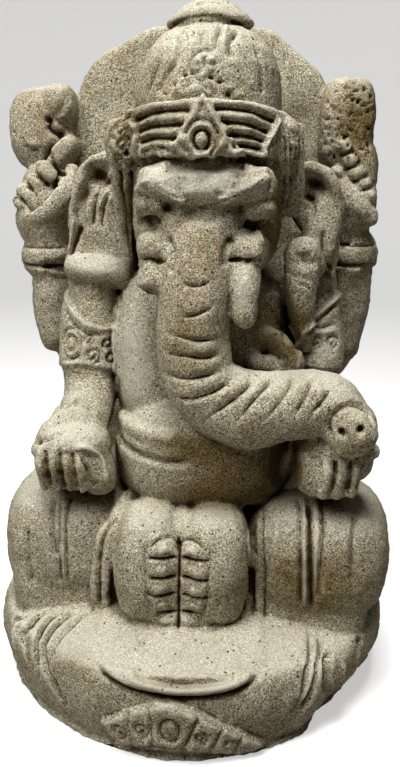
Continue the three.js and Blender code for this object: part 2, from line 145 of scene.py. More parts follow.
class Mass:
    """Gathers closed, overlapping forms in one mesh, from which the block is fused."""

    def __init__(self) -> None:
        """Starts with no form."""
        self.mesh = bmesh.new()

    def add(self, form: bmesh.types.BMesh) -> None:
        """Joins one finished form to the others.

        Args:
            form: The form in metres, which is freed.
        """
        bmesh.ops.recalc_face_normals(form, faces=form.faces)
        carrier = bpy.data.meshes.new("form")
        form.to_mesh(carrier)
        form.free()
        self.mesh.from_mesh(carrier)
        bpy.data.meshes.remove(carrier)

    def lump(
        self,
        at: Sequence[float],
        radii: Sequence[float],
        square: float = 2.0,
        tilt: Sequence[float] = (0, 0, 0),
    ) -> None:
        """Adds a rounded lump.

        Args:
            at: Its centre.
            radii: Half its size along X, Y and Z, before it is tilted.
            square: 2 for an egg, and more for a boxier form.
            tilt: Turns about X, Y and Z in degrees.
        """
        form = bmesh.new()
        bmesh.ops.create_icosphere(form, subdivisions=5, radius=1)
        turn = Euler([math.radians(angle) for angle in tilt]).to_matrix()
        centre = Vector(at)
        for vert in form.verts:
            out = vert.co
            reach = sum(abs(part) ** square for part in out) ** (-1 / square)
            stretched = Vector([part * reach * radius for part, radius in zip(out, radii)])
            vert.co = (turn @ stretched + centre) * MM
        self.add(form)

    def limb(self, points: Places, steps: int = 24, caps: int = 5) -> None:
        """Adds a limb with round ends that follows a smooth line.

        Args:
            points: Each is x, y, z, half width and half depth, or one half width for both.
            steps: Sections along the line.
            caps: Sections in each round end.
        """
        full = [[*point, point[3]] if len(point) == 4 else point for point in points]
        line = smooth_line(full, steps)
        rings = steps + 2 * caps
        form = bmesh.new()
        bmesh.ops.create_uvsphere(form, u_segments=32, v_segments=rings, radius=1)
        back = Vector((0, 1, 0))
        for vert in form.verts:
            row = round(math.acos(max(-1, min(1, vert.co.z))) / math.pi * rings)
            step = max(0, min(steps, row - caps))
            past = (row - caps - step) / caps
            x, y, z, wide, deep = line[step]
            ahead = line[min(step + 1, steps)][:3] - line[max(step - 1, 0)][:3]
            along = Vector(ahead).normalized()
            side = back.cross(along).normalized()
            depth = along.cross(side)
            swell = math.cos(past * math.pi / 2)
            spin = math.atan2(vert.co.y, vert.co.x)
            vert.co = (
                Vector((x, y, z))
                + side * (math.cos(spin) * wide * swell)
                + depth * (math.sin(spin) * deep * swell)
                + along * (math.sin(past * math.pi / 2) * min(wide, deep))
            ) * MM
        self.add(form)

    def plate(
        self, outline: Places, front: float, thickness: float, edge: float, smooth: bool = True
    ) -> None:
        """Adds an upright plate with rounded edges.

        Args:
            outline: Its corners as x and z.
            front: The y of its front face.
            thickness: From front to back.
            edge: The radius of its edges.
            smooth: Runs the outline through its corners as a curve.
        """
        corners = smooth_line([*outline, outline[0]], len(outline) * 6)[:-1] if smooth else outline
        form = bmesh.new()
        face = form.faces.new([form.verts.new((x * MM, front * MM, z * MM)) for x, z in corners])
        grown = bmesh.ops.extrude_face_region(form, geom=[face], use_keep_orig=True)["geom"]
        moved = [part for part in grown if isinstance(part, bmesh.types.BMVert)]
        bmesh.ops.translate(form, verts=moved, vec=(0, thickness * MM, 0))
        rims = [rim for rim in form.edges if abs(rim.verts[0].co.y - rim.verts[1].co.y) < 1e-6]
        bmesh.ops.bevel(
            form, geom=rims, offset=edge * MM, affect="EDGES", segments=4, profile=0.5, material=-1
        )
        bmesh.ops.triangulate(form, faces=[face for face in form.faces if len(face.verts) > 4])
        self.add(form)

    def turned(self, profile: Places, shape: Callable[[float, float, float], Sequence[float]]) -> None:
        """Adds a turned form on an upright axis.

        Args:
            profile: Rows of reach and z, from the axis at the bottom to the axis at the top.
            shape: Gives the place in millimetres of a point from its share of the width, its share of the
                depth and its z.
        """
        form = bmesh.new()
        verts = [form.verts.new((share, 0, z)) for share, z in profile]
        edges = [form.edges.new(pair) for pair in zip(verts, verts[1:])]
        bmesh.ops.spin(
            form,
            geom=[*verts, *edges],
            axis=(0, 0, 1),
            cent=(0, 0, 0),
            angle=2 * math.pi,
            steps=96,
            use_merge=True,
        )
        bmesh.ops.remove_doubles(form, verts=form.verts, dist=1e-5)
        for vert in form.verts:
            vert.co = Vector(shape(*vert.co)) * MM
        self.add(form)


class Chisel:
    """Moves the skin of the fused block along lines and over hollows, each laid on from the front."""

    def __init__(self, mesh: bpy.types.Mesh) -> None:
        """Reads the skin.

        Args:
            mesh: The fused block's mesh, in metres.
        """
        self.mesh = mesh
        count = len(mesh.vertices)
        places = np.empty(count * 3)
        normals = np.empty(count * 3)
        mesh.vertices.foreach_get("co", places)
        mesh.vertices.foreach_get("normal", normals)
        self.place = places.reshape(-1, 3) / MM
        self.normal = normals.reshape(-1, 3)
        self.push = np.zeros((count, 3))
        # The pale and brown stains, partly dust and dirt, partly painted light and painted shade.
        self.wear_and_painted_light = np.zeros(count)
        self.skin = skin_of(mesh)

    def cast(self, x: float, z: float) -> Vector | None:
        """Finds the stone behind a place as the front sees it.

        Args:
            x: Across.
            z: Height.

        Returns:
            The place on the skin in millimetres, or None where there is no stone.
        """
        hit = self.skin.ray_cast(Vector((x, IN_FRONT, z)) * MM, Vector((0, 1, 0)))[0]
        return None if hit is None else hit / MM

    def line(
        self,
        points: Places,
        width: float,
        depth: float,
        section: Section = Section.ROUND,
        taper: float = 0.15,
    ) -> None:
        """Cuts or raises a line on the skin.

        Args:
            points: Its points as x and z.
            width: Half its width.
            depth: How deep it is cut, or raised where negative.
            section: Its section. A step is low on the right of the line's way.
            taper: The share of the line over which each end runs out.
        """
        flat = np.array(points, dtype=float)
        length = np.linalg.norm(np.diff(flat, axis=0), axis=1)
        hits = list(self.landed(smooth_line(flat, max(4, int(length.sum() / SPACING)))))
        if len(hits) < 2:
            log.warning("a line of carving at %s missed the stone", points[0])
            return
        spine = np.array([place for place, _ in hits])
        shares = np.array([share for _, share in hits])
        way = np.gradient(spine[:, [0, 2]], axis=0)
        side_reach = width * (3 if section is Section.STEP else 1)
        low, high = spine.min(axis=0) - side_reach, spine.max(axis=0) + side_reach
        near = np.flatnonzero(np.all((self.place > low) & (self.place < high), axis=1))
        if not len(near):
            return
        gap, nearest = self.nearest(near, spine)
        kept = gap < side_reach
        near, gap, nearest = near[kept], gap[kept], nearest[kept]
        share = shares[nearest]
        fade = np.ones_like(share)
        if taper > 0:
            fade = np.clip(np.minimum(share, 1 - share) / taper, 0, 1)
            fade = fade * fade * (3 - 2 * fade)
        if section is Section.STEP:
            off = self.place[near][:, [0, 2]] - spine[nearest][:, [0, 2]]
            turn = way[nearest]
            right = off[:, 0] * turn[:, 1] - off[:, 1] * turn[:, 0] > 0
            rise = np.where(right, 1 - gap / side_reach, np.clip(1 - gap / (0.5 * width), 0, 1))
            amount = np.clip(rise, 0, 1) ** 1.5
        elif section is Section.SHARP:
            amount = np.clip(1 - gap / width, 0, 1)
        else:
            amount = np.clip(1 - (gap / width) ** 2, 0, 1) ** 2
        self.move(near, amount * fade * depth)

    def landed(self, path: np.ndarray) -> Iterable[tuple[Vector, float]]:
        """Casts each place of a path onto the skin.

        Args:
            path: Rows of x and z.

        Yields:
            The place on the skin and its share of the way along the path.
        """
        last = len(path) - 1
        for index, (x, z) in enumerate(path):
            hit = self.cast(x, z)
            if hit is not None:
                yield hit, index / last

    def nearest(self, near: np.ndarray, spine: np.ndarray) -> tuple[np.ndarray, np.ndarray]:
        """Measures from some vertices to a line on the skin.

        Args:
            near: Indices of the vertices.
            spine: The line's places.

        Returns:
            Each vertex's distance, and the index of the nearest place.
        """
        gaps = np.empty(len(near))
        which = np.empty(len(near), dtype=int)
        for first in range(0, len(near), 4000):
            block = slice(first, first + 4000)
            apart = np.linalg.norm(self.place[near[block], None] - spine[None], axis=2)
            which[block] = apart.argmin(axis=1)
            gaps[block] = apart.min(axis=1)
        return gaps, which

    def hollow(
        self,
        at: Sequence[float],
        radii: Sequence[float],
        depth: float,
        tilt: float = 0,
        flat: float = 0.0,
        thickness: float = 40,
    ) -> None:
        """Pushes an oval of the skin straight back, or brings it forward where depth is negative.

        Args:
            at: Its centre as x and z.
            radii: Half its width and half its height.
            depth: How far the middle moves.
            tilt: Its turn in degrees, from X towards Z.
            flat: The share of the oval that moves by the full depth.
            thickness: How far from the centre in y the skin still moves.
        """
        hit = self.cast(*at)
        if hit is None:
            log.warning("a hollow at %s missed the stone", at)
            return
        off = self.place - np.array(hit)
        turn = math.radians(tilt)
        across = (off[:, 0] * math.cos(turn) + off[:, 2] * math.sin(turn)) / radii[0]
        up = (off[:, 2] * math.cos(turn) - off[:, 0] * math.sin(turn)) / radii[1]
        out = np.hypot(across, up)
        near = np.flatnonzero((out < 1) & (np.abs(off[:, 1]) < thickness) & (self.normal[:, 1] < 0.25))
        fade = np.clip((1 - out[near]) / (1 - flat), 0, 1)
        amount = fade * fade * (3 - 2 * fade) * depth
        self.push[near, 1] += amount

    def panel(
        self, outline: Places, rise: float, edge: float = 3.0, thickness: float = 60, facing: float = 0.3
    ) -> None:
        """Raises a patch of the skin, or sinks it where rise is negative.

        Args:
            outline: The patch's corners as x and z.
            rise: How far it moves.
            edge: The width of the slope at its outline.
            thickness: How far from the patch's middle in y the skin still moves.
            facing: Skin whose normal has a larger y than this stays: below 0 only steep skin moves.
        """
        corners = np.array(outline, dtype=float)
        hit = self.cast(*corners.mean(axis=0))
        if hit is None:
            log.warning("a panel at %s missed the stone", outline[0])
            return
        spot = self.place[:, [0, 2]]
        within = np.all((spot > corners.min(axis=0) - edge) & (spot < corners.max(axis=0) + edge), axis=1)
        reached = (np.abs(self.place[:, 1] - hit[1]) < thickness) & (self.normal[:, 1] < facing)
        near = np.flatnonzero(within & reached)
        spot = spot[near]
        inside = np.zeros(len(near), dtype=bool)
        away = np.full(len(near), np.inf)
        for start, end in zip(corners, np.roll(corners, -1, axis=0)):
            along = end - start
            share = np.clip((spot - start) @ along / max(1e-9, along @ along), 0, 1)
            away = np.minimum(away, np.linalg.norm(spot - start - share[:, None] * along, axis=1))
            if along[1]:
                level = start[0] + (spot[:, 1] - start[1]) / along[1] * along[0]
                inside ^= ((start[1] > spot[:, 1]) != (end[1] > spot[:, 1])) & (spot[:, 0] < level)
        fade = np.clip(0.5 + np.where(inside, away, -away) / edge, 0, 1)
        self.move(near, -fade * fade * (3 - 2 * fade) * rise)

    def pit(
        self,
        at: Sequence[float],
        spread: Sequence[float],
        count: int,
        sizes: tuple[float, float],
        depth: float,
        seed: int,
    ) -> None:
        """Knocks small pits into an oval of the skin.

        Args:
            at: The oval's centre as x and z.
            spread: Half its width and half its height.
            count: The number of pits.
            sizes: The least and the largest radius of a pit.
            depth: The deepest that a pit may be.
            seed: Starts the row of random numbers.
        """
        chance = random.Random(seed)
        for _ in range(count):
            turn, out = chance.uniform(0, 2 * math.pi), math.sqrt(chance.random())
            place = (at[0] + spread[0] * out * math.cos(turn), at[1] + spread[1] * out * math.sin(turn))
            size = chance.uniform(*sizes)
            shape = (size, size * chance.uniform(0.6, 1))
            if self.cast(*place) is not None:
                deep = depth * chance.uniform(0.4, 1)
                self.hollow(place, shape, deep, tilt=chance.uniform(0, 180), thickness=12)

    def stain(self, at: Sequence[float], radii: Sequence[float], amount: float) -> None:
        """Marks an oval of the skin as pale, for dust and for painted light, or as brown, for dirt and for
        painted shade, where amount is negative.

        Args:
            at: Its centre as x and z.
            radii: Half its width and half its height.
            amount: How much, from -1 to 1.
        """
        off = (self.place[:, [0, 2]] - np.array(at)) / np.array(radii)
        fade = np.clip(1.3 - np.hypot(*off.T), 0, 1)
        facing = self.normal[:, 1] < 0.5
        # The pale ovals are partly dust and partly painted light; the brown ones are partly dirt and partly
        # painted shade.
        self.wear_and_painted_light += np.where(facing, fade * amount, 0)

    def move(self, near: np.ndarray, amount: np.ndarray) -> None:
        """Pushes vertices in along their normals.

        Args:
            near: Indices of the vertices.
            amount: How far each moves, outwards where negative.
        """
        self.push[near] -= self.normal[near] * amount[:, None]

    def roughen(self, coarse: float, fine: float) -> None:
        """Makes the skin uneven, as hand tools and weather leave it.

        Args:
            coarse: The height of swells about 40 mm across.
            fine: The height of bumps about 9 mm across.
        """
        for index, (x, y, z) in enumerate(self.place):
            rise = coarse * noise.noise((x / 40, y / 40, z / 40)) + fine * noise.noise((x / 9, y / 9, z / 9))
            self.push[index] += self.normal[index] * rise

    def finish(self) -> None:
        """Writes the moved skin back to the mesh."""
        self.place = self.place + self.push
        self.mesh.vertices.foreach_set("co", (self.place * MM).ravel())
        self.mesh.update()

    def mark_relief(self, rounds: int = 14) -> None:
        """Stores as attributes each vertex's "relief", how far it stands out from the smoothed skin in
        millimetres, and
        its stains: pale ovals of dust and painted light, and brown ovals of dirt and painted shade.

        Args:
            rounds: How often the skin is smoothed for the comparison.
        """
        count = len(self.mesh.vertices)
        rims = np.empty(len(self.mesh.edges) * 2, dtype=int)
        self.mesh.edges.foreach_get("vertices", rims)
        one, other = rims.reshape(-1, 2).T
        share = 1 / np.maximum(1, np.bincount(one, minlength=count) + np.bincount(other, minlength=count))
        smooth = self.place.copy()
        for _ in range(rounds):
            for axis in range(3):
                part = smooth[:, axis]
                total = np.bincount(one, part[other], count) + np.bincount(other, part[one], count)
                smooth[:, axis] = total * share
        # The relief darkens the grooves with dirt and painted shade, and pales the ridges with wear and a
        # painted highlight.
        relief = np.einsum("ij,ij->i", self.place - smooth, self.normal)
        self.mesh.attributes.new("relief", "FLOAT", "POINT").data.foreach_set("value", relief)
        self.mesh.attributes.new("wear_and_painted_light", "FLOAT", "POINT").data.foreach_set("value", self.wear_and_painted_light)


def mark_shelter(mesh: bpy.types.Mesh, reach: float = 90, rays: int = 14) -> None:
    """Stores how sheltered each vertex is, from 0 in the open to 1 in a deep gap, as the attribute "shelter",
    and how openly it faces up, as the attribute "ledge".

    Args:
        mesh: The mesh, in metres.
        reach: How far away stone still shelters, in millimetres.
        rays: The number of directions that are tried.
    """
    skin = skin_of(mesh)
    turn = math.pi * (3 - math.sqrt(5))
    fans = []
    for step in range(rays):
        out = math.sqrt((step + 0.5) / rays)
        fans.append((math.cos(step * turn) * out, math.sin(step * turn) * out, math.sqrt(1 - out * out)))
    shelter = []
    for vert in mesh.vertices:
        normal = vert.normal
        side = normal.orthogonal().normalized()
        other = normal.cross(side)
        start = vert.co + normal * (1.5 * MM)
        closed = 0.0
        for along, across, up in fans:
            gap = skin.ray_cast(start, side * along + other * across + normal * up, reach * MM)[3]
            if gap is not None:
                closed += 1 - gap / (reach * MM)
        shelter.append(closed / rays)
    # The shelter darkens the hollows with dirt and painted shade in the material.
    mesh.attributes.new("shelter", "FLOAT", "POINT").data.foreach_set("value", shelter)
    # The ledge pales the open upward faces with dust and painted top light.
    ledge = [max(0.0, vert.normal.z) * (1 - closed) for vert, closed in zip(mesh.vertices, shelter)]
    mesh.attributes.new("ledge", "FLOAT", "POINT").data.foreach_set("value", ledge)


def skin_of(mesh: bpy.types.Mesh) -> BVHTree:
    """Builds a search tree of a mesh's faces.

    Args:
        mesh: The mesh, in metres.

    Returns:
        The tree.
    """
    shape = bmesh.new()
    shape.from_mesh(mesh)
    tree = BVHTree.FromBMesh(shape)
    shape.free()
    return tree


class Part:
    """One form of the carving. It adds its masses to the block, and is carved once the block is fused."""

    def build(self, stone: Mass) -> None:
        """Adds the masses. A part that is only carved has none."""

    def carve(self, chisel: Chisel) -> None:
        """Carves the skin. A plain part has no carving."""


@dataclass(frozen=True)
class Base(Part):
    """The round cushion base, flat behind, with a hanging cloth edge and a triangle of leaves in front."""

    x: float = -5
    half_width: float = 242
    half_depth: float = 241
    back_y: float = 170
    profile: tuple[tuple[float, float], ...] = (
        (0, 0), (0.92, 0), (0.95, 5), (0.98, 22), (1.0, 46), (1.006, 68), (1.002, 84), (0.992, 93),
        (0.975, 98), (0.95, 100), (0.9, 103), (0.8, 109), (0.7, 114), (0.5, 118), (0, 122),
    )
    broken_from: float = -52
    broken_to: float = -4
    broken_below: float = 62
    tongue: Places = (
        (-99, 128), (-99, 112), (-96, 104), (-80, 97), (-63, 92), (-41, 88), (-9, 86), (22, 86), (48, 89),
        (69, 94), (84, 103), (88, 128),
    )
    under_tongue: Places = (
        (-98, 106), (-80, 94), (-63, 88), (-41, 84), (-9, 82), (22, 82), (48, 85), (69, 91), (88, 102),
    )
    folds: tuple[tuple[Places, float, float, Section], ...] = (
        (
            (
                (-104, 116), (-118, 112), (-132, 106), (-143, 99), (-148, 88), (-143, 75), (-139, 63),
                (-132, 51), (-123, 39), (-109, 30),
            ),
            8, 12, Section.STEP,
        ),
        (
            (
                (-128, 113), (-145, 107), (-158, 99), (-160, 86), (-152, 64), (-145, 51), (-136, 37),
                (-124, 24),
            ),
            5, 8, Section.ROUND,
        ),
        (((-168, 106), (-180, 101), (-188, 94), (-190, 86), (-182, 73), (-174, 44)), 7, 10, Section.ROUND),
        (((-150, 108), (-163, 103), (-169, 94), (-167, 81), (-162, 40)), 6, 9, Section.ROUND),
        (((-196, 100), (-206, 94), (-207, 84), (-198, 62)), 7, 9, Section.ROUND),
        (((-198, 98), (-200, 90), (-196, 70)), 4, -3, Section.ROUND),
        (
            ((97, 18), (115, 40), (125, 58), (130, 75), (133, 90), (136, 100), (140, 108)),
            6, 9, Section.STEP,
        ),
        (((143, 98), (138, 81), (134, 68), (125, 50), (110, 28)), 4, -4, Section.ROUND),
        (((152, 106), (148, 96), (143, 78), (138, 60), (128, 42)), 5, 8, Section.ROUND),
        (((160, 100), (157, 92), (157, 73), (159, 46)), 9, 9, Section.ROUND),
        (((200, 94), (198, 86), (196, 68), (190, 46)), 9, 9, Section.ROUND),
        (((172, 92), (176, 66), (174, 44)), 7, -4, Section.ROUND),
    )
    triangle: Places = (
        (-9, 83), (-50, 66), (-84, 40), (-62, 12), (-10, 20), (57, 6), (94, 12), (62, 42), (22, 69),
    )
    panels: tuple[Places, ...] = (
        ((-9, 79), (-29, 71), (-25, 54), (-25, 28), (5, 28), (15, 54), (20, 66)),
        ((-31, 70), (-46, 65), (-51, 58), (-45, 22), (-28, 27), (-28, 53)),
        ((-53, 60), (-64, 55), (-77, 43), (-71, 29), (-59, 16), (-48, 21)),
        ((22, 65), (44, 50), (38, 36), (30, 21), (8, 26), (18, 52)),
        ((46, 49), (64, 36), (59, 24), (54, 13), (33, 19), (41, 35)),
        ((66, 35), (90, 16), (58, 11), (62, 24)),
    )

    def build(self, stone: Mass) -> None:
        """Adds the base.

        Args:
            stone: The mass that it joins.
        """
        even = smooth_line(self.profile, 90)
        profile = [(0, 0), *[(max(0, reach), max(0, z)) for reach, z in even[1:-1]], (0, 122)]
        stone.turned(profile, self.shape)

    def shape(self, across: float, back: float, z: float) -> tuple[float, float, float]:
        """Draws the cushion in at its lower front corners, breaks one of them away and cuts it flat behind.

        Args:
            across: The share of the half width.
            back: The share of the half depth.
            z: The height.

        Returns:
            The place in millimetres.
        """
        angle = math.atan2(back, across)
        low = max(0.0, 1 - z / self.broken_below)
        corner = abs(math.sin(2 * angle)) if back < 0 else 0.0
        turn = math.degrees(angle)
        chipped = max(0.0, min(1.0, min(turn - self.broken_from, self.broken_to - turn) / 10))
        kept = 1 - low * (0.035 * corner + 0.085 * chipped)
        return (
            across * kept * self.half_width + self.x,
            min(back * kept * self.half_depth, self.back_y),
            z,
        )

    def carve(self, chisel: Chisel) -> None:
        """Carves the cloth edge, its folds and the triangle of leaves.

        Args:
            chisel: The chisel on the fused block.
        """
        chisel.panel(self.tongue, 2, edge=8, thickness=120)
        chisel.panel(self.tongue, 5, edge=3, facing=-0.35)
        chisel.line(self.under_tongue, 5, 6)
        chisel.line([(-50, 99), (-30, 97), (-4, 95.5), (22, 96), (42, 97), (58, 99)], 5, 6, taper=0.12)
        chisel.line([(-56, 95), (-30, 91.5), (-4, 90), (22, 90.5), (42, 92), (64, 95)], 3.5, -2.5)
        for fold, width, depth, section in self.folds:
            chisel.line(fold, width, depth, section)
        self.carve_triangle(chisel)

    def carve_triangle(self, chisel: Chisel) -> None:
        """Carves the triangle: a leaf in the middle, two scrolls at the left and three blocks at the right.

        Args:
            chisel: The chisel on the fused block.
        """
        chisel.panel(self.triangle, 5, edge=2.5, facing=-0.3)
        for outline in self.panels:
            chisel.panel(outline, 4, edge=2.5)
        chisel.line(ring((-8, 48), (10, 13)), 3, 5, Section.SHARP, taper=0)
        for at in ((-38, 44), (-61, 37)):
            chisel.line(scroll(at, 10), 3, 5, Section.SHARP, taper=0.1)
        chisel.line(scroll((23, 41), 8), 3, 5, Section.SHARP, taper=0.1)
        chisel.line([(46, 28), (52, 33), (58, 29)], 3, 4, Section.SHARP)
        chisel.line([(-62, 12), (-24, 23), (-3, 22), (31, 15), (57, 6)], 4, 5)


@dataclass(frozen=True)
class Legs(Part):
    """Two drawn-up legs under a skirt, whose upright folds hang over each shin."""

    z: float = 176
    half_tall: float = 71
    hems: tuple[Places, ...] = (
        (
            (-70, -64, 236, 9), (-82, -98, 230, 10), (-92, -124, 208, 8), (-97, -130, 160, 7),
            (-100, -122, 100, 7),
        ),
        ((-84, -104, 226, 6), (-100, -126, 206, 7), (-107, -130, 160, 6), (-110, -122, 100, 6)),
    )
    folds: tuple[Places, ...] = (
        ((-161, 240), (-159, 222), (-157, 201), (-155, 170)),
        ((-153, 240), (-151, 210), (-151, 181), (-150, 134)),
        ((-143, 243), (-144, 223), (-144, 202), (-142, 134)),
        ((125, 248), (124, 226), (125, 189), (128, 126)),
        ((149, 252), (149, 228), (147, 191), (146, 140)),
        ((80, 234), (81, 206), (85, 165), (88, 110)),
    )

    def build(self, stone: Mass) -> None:
        """Adds the legs.

        Args:
            stone: The mass that it joins.
        """
        stone.lump((-148, -28, self.z), (86, 96, self.half_tall), square=3.2, tilt=(0, 0, 6))
        stone.lump((150, -44, self.z - 1), (85, 98, self.half_tall + 1), square=3.2, tilt=(0, 0, -6))
        stone.lump((0, 60, self.z), (165, 105, 82), square=3)
        stone.lump((-144, -30, 146), (78, 88, 62), square=6, tilt=(0, 0, 5))
        stone.lump((140, -38, 146), (74, 92, 62), square=6, tilt=(0, 0, -5))
        for hem in self.hems:
            stone.limb(hem)

    def carve(self, chisel: Chisel) -> None:
        """Carves the folds of the skirt.

        Args:
            chisel: The chisel on the fused block.
        """
        for fold in self.folds:
            chisel.line(fold, 4.5, 6, Section.SHARP, taper=0.1)
        chisel.line([(-190, 210), (-189, 178), (-186, 134)], 6, 4.5)
        chisel.line([(187, 242), (183, 221), (182, 204), (185, 165)], 6, 4.5)
        chisel.line([(136, 250), (134, 227), (136, 190), (141, 116)], 6, 9)
        chisel.line([(-148, 238), (-148, 200), (-146, 140)], 3, -2)
        chisel.line([(130, 240), (130, 200), (133, 130)], 3.5, -2)
        chisel.line([(-84, 226), (-96, 208), (-101, 180), (-103, 140), (-104, 112)], 3.5, 5, Section.SHARP)
        chisel.line([(64, 236), (66, 206), (71, 156), (74, 110)], 6, 9)
        chisel.line([(96, 232), (97, 200), (99, 140)], 5, -2)


@dataclass(frozen=True)
class Feet(Part):
    """Two feet side by side in front, soles together, the toes of each one above the other."""

    half_width: float = 42
    meeting_x: float = -8
    toe_gaps_z: tuple[float, ...] = (200, 177, 156, 134)
    toe_reach: float = 34
    toes: Places = ((-28, 188), (9, 188), (-26, 167), (9, 166), (-25, 145), (7, 145), (-24, 124), (6, 124))
    big_toes: Places = ((-24, 211), (4, 210))
    nails: Places = ((-28, 190), (9, 190), (-26, 168), (9, 167), (-25, 146), (7, 146))

    def build(self, stone: Mass) -> None:
        """Adds the feet.

        Args:
            stone: The mass that it joins.
        """
        stone.lump((-44, -112, 174), (self.half_width, 60, 71), square=2.7)
        stone.lump((28, -112, 176), (self.half_width, 60, 71), square=2.7)
        stone.lump((-8, -108, 176), (34, 56, 62), square=3)
        stone.lump((-8, -112, 140), (52, 50, 54), square=3.4)

    def carve(self, chisel: Chisel) -> None:
        """Parts the soles and the toes, and cuts the nails.

        Args:
            chisel: The chisel on the fused block.
        """
        x = self.meeting_x
        chisel.line([(x - 6, 240), (x - 2, 222), (x, 203)], 9, 5, taper=0.2)
        chisel.line([(x - 3, 224), (x, 203), (x, 158), (x, 112)], 3.5, 5, taper=0.05)
        chisel.line([(x, 220), (x - 1, 158), (x, 114)], 2.2, 4, Section.SHARP, taper=0.05)
        for at in self.toes:
            chisel.hollow(at, (15, 11), -3.5)
        for at in self.big_toes:
            chisel.hollow(at, (15, 11), -6)
            chisel.line(ring(at, (14, 10), 0.02, 0.5), 3, 5, Section.SHARP)
            chisel.line(ring(at, (7, 6), 0.0, 0.6), 2.4, 3, Section.SHARP)
        for z in self.toe_gaps_z:
            reach = self.toe_reach * (0.75 if z < 150 else 1)
            for side in (-1, 1):
                cut = [(x + side * 2, z + 1), (x + side * reach / 2, z), (x + side * reach, z + 1)]
                chisel.line(cut, 3.4, 3, taper=0.12)
                chisel.line(cut, 2.2, 4, Section.SHARP, taper=0.12)
        for across, z in self.nails:
            chisel.line([(across - 7, z), (across - 1, z + 5), (across + 6, z + 1)], 2.6, 3, Section.SHARP)
        chisel.line([(-46, 218), (-44, 180), (-38, 124)], 5, 3.5)
        chisel.line([(26, 216), (25, 180), (20, 124)], 5, 3.5)


@dataclass(frozen=True)
class Torso(Part):
    """The round belly, the chest behind the trunk and the left breast: centre, half sizes and squareness."""

    belly: Lump = ((8, -12, 288), (110, 112, 78), 2.5)
    chest: Lump = ((0, 22, 400), (110, 98, 118), 2.8)
    breast: Lump = ((-50, -18, 404), (45, 62, 98), 2.8)

    def build(self, stone: Mass) -> None:
        """Adds the torso.

        Args:
            stone: The mass that it joins.
        """
        for mass in (self.belly, self.chest, self.breast):
            stone.lump(*mass)

    def carve(self, chisel: Chisel) -> None:
        """Carves the fold between chest and belly, and the deep gaps beside the trunk and the belly.

        Args:
            chisel: The chisel on the fused block.
        """
        chisel.line([(-98, 330), (-81, 327), (-60, 324), (-35, 322), (-8, 324)], 12, -6)
        chisel.line([(-100, 315), (-85, 305), (-62, 299), (-30, 295), (8, 299)], 8, 6)
        chisel.hollow((104, 290), (22, 42), 60, thickness=120)
        chisel.line([(-95, 478), (-94, 435), (-93, 390), (-96, 345)], 7, 10)


@dataclass(frozen=True)
class Slab(Part):
    """The slab behind the figure, with a round top."""

    front_y: float = 95
    back_y: float = 170
    edge: float = 12
    outline: tuple[tuple[float, float], ...] = (
        (-176, 110), (-182, 300), (-184, 480), (-182, 600), (-179, 680), (-166, 730), (-146, 757),
        (-118, 774), (-72, 793), (-4, 799), (62, 794), (88, 780), (114, 760), (138, 736), (154, 690),
        (164, 600), (170, 480), (170, 300), (168, 110),
    )

    def build(self, stone: Mass) -> None:
        """Adds the slab.

        Args:
            stone: The mass that it joins.
        """
        stone.plate(self.outline, self.front_y, self.back_y - self.front_y, self.edge)


@dataclass(frozen=True)
class RearArms(Part):
    """The raised pair of arms, from the elbows up: forearm, bracelet and wrist."""

    left: tuple[tuple[float, ...], ...] = (
        (-202, 88, 400, 24, 34), (-206, 88, 440, 27, 38), (-206, 86, 496, 28, 38), (-208, 86, 500, 37, 46),
        (-208, 86, 515, 37, 46), (-208, 86, 519, 28, 37), (-209, 82, 530, 30, 38), (-211, 78, 552, 38, 42),
        (-210, 76, 580, 34, 38),
    )
    right: tuple[tuple[float, ...], ...] = (
        (178, 88, 400, 27, 34), (182, 88, 440, 31, 38), (183, 86, 506, 31, 38), (184, 86, 510, 35, 45),
        (184, 86, 526, 35, 45), (183, 86, 530, 25, 36), (183, 84, 545, 23, 36), (185, 80, 570, 28, 42),
        (186, 78, 590, 28, 38),
    )

    def build(self, stone: Mass) -> None:
        """Adds the arms.

        Args:
            stone: The mass that it joins.
        """
        stone.lump((-166, 100, 415), (48, 42, 74))
        stone.lump((150, 100, 415), (56, 42, 74))
        stone.limb(self.left, steps=90)
        stone.limb(self.right, steps=90)

    def carve(self, chisel: Chisel) -> None:
        """Sharpens the bracelets' edges.

        Args:
            chisel: The chisel on the fused block.
        """
        for left, right, high, low in ((-244, -182, 520, 496), (160, 216, 531, 506)):
            chisel.line([(left, high), (right, high)], 3, 5, Section.SHARP, taper=0.02)
            chisel.line([(left, low), (right, low)], 4, 7, Section.SHARP, taper=0.02)


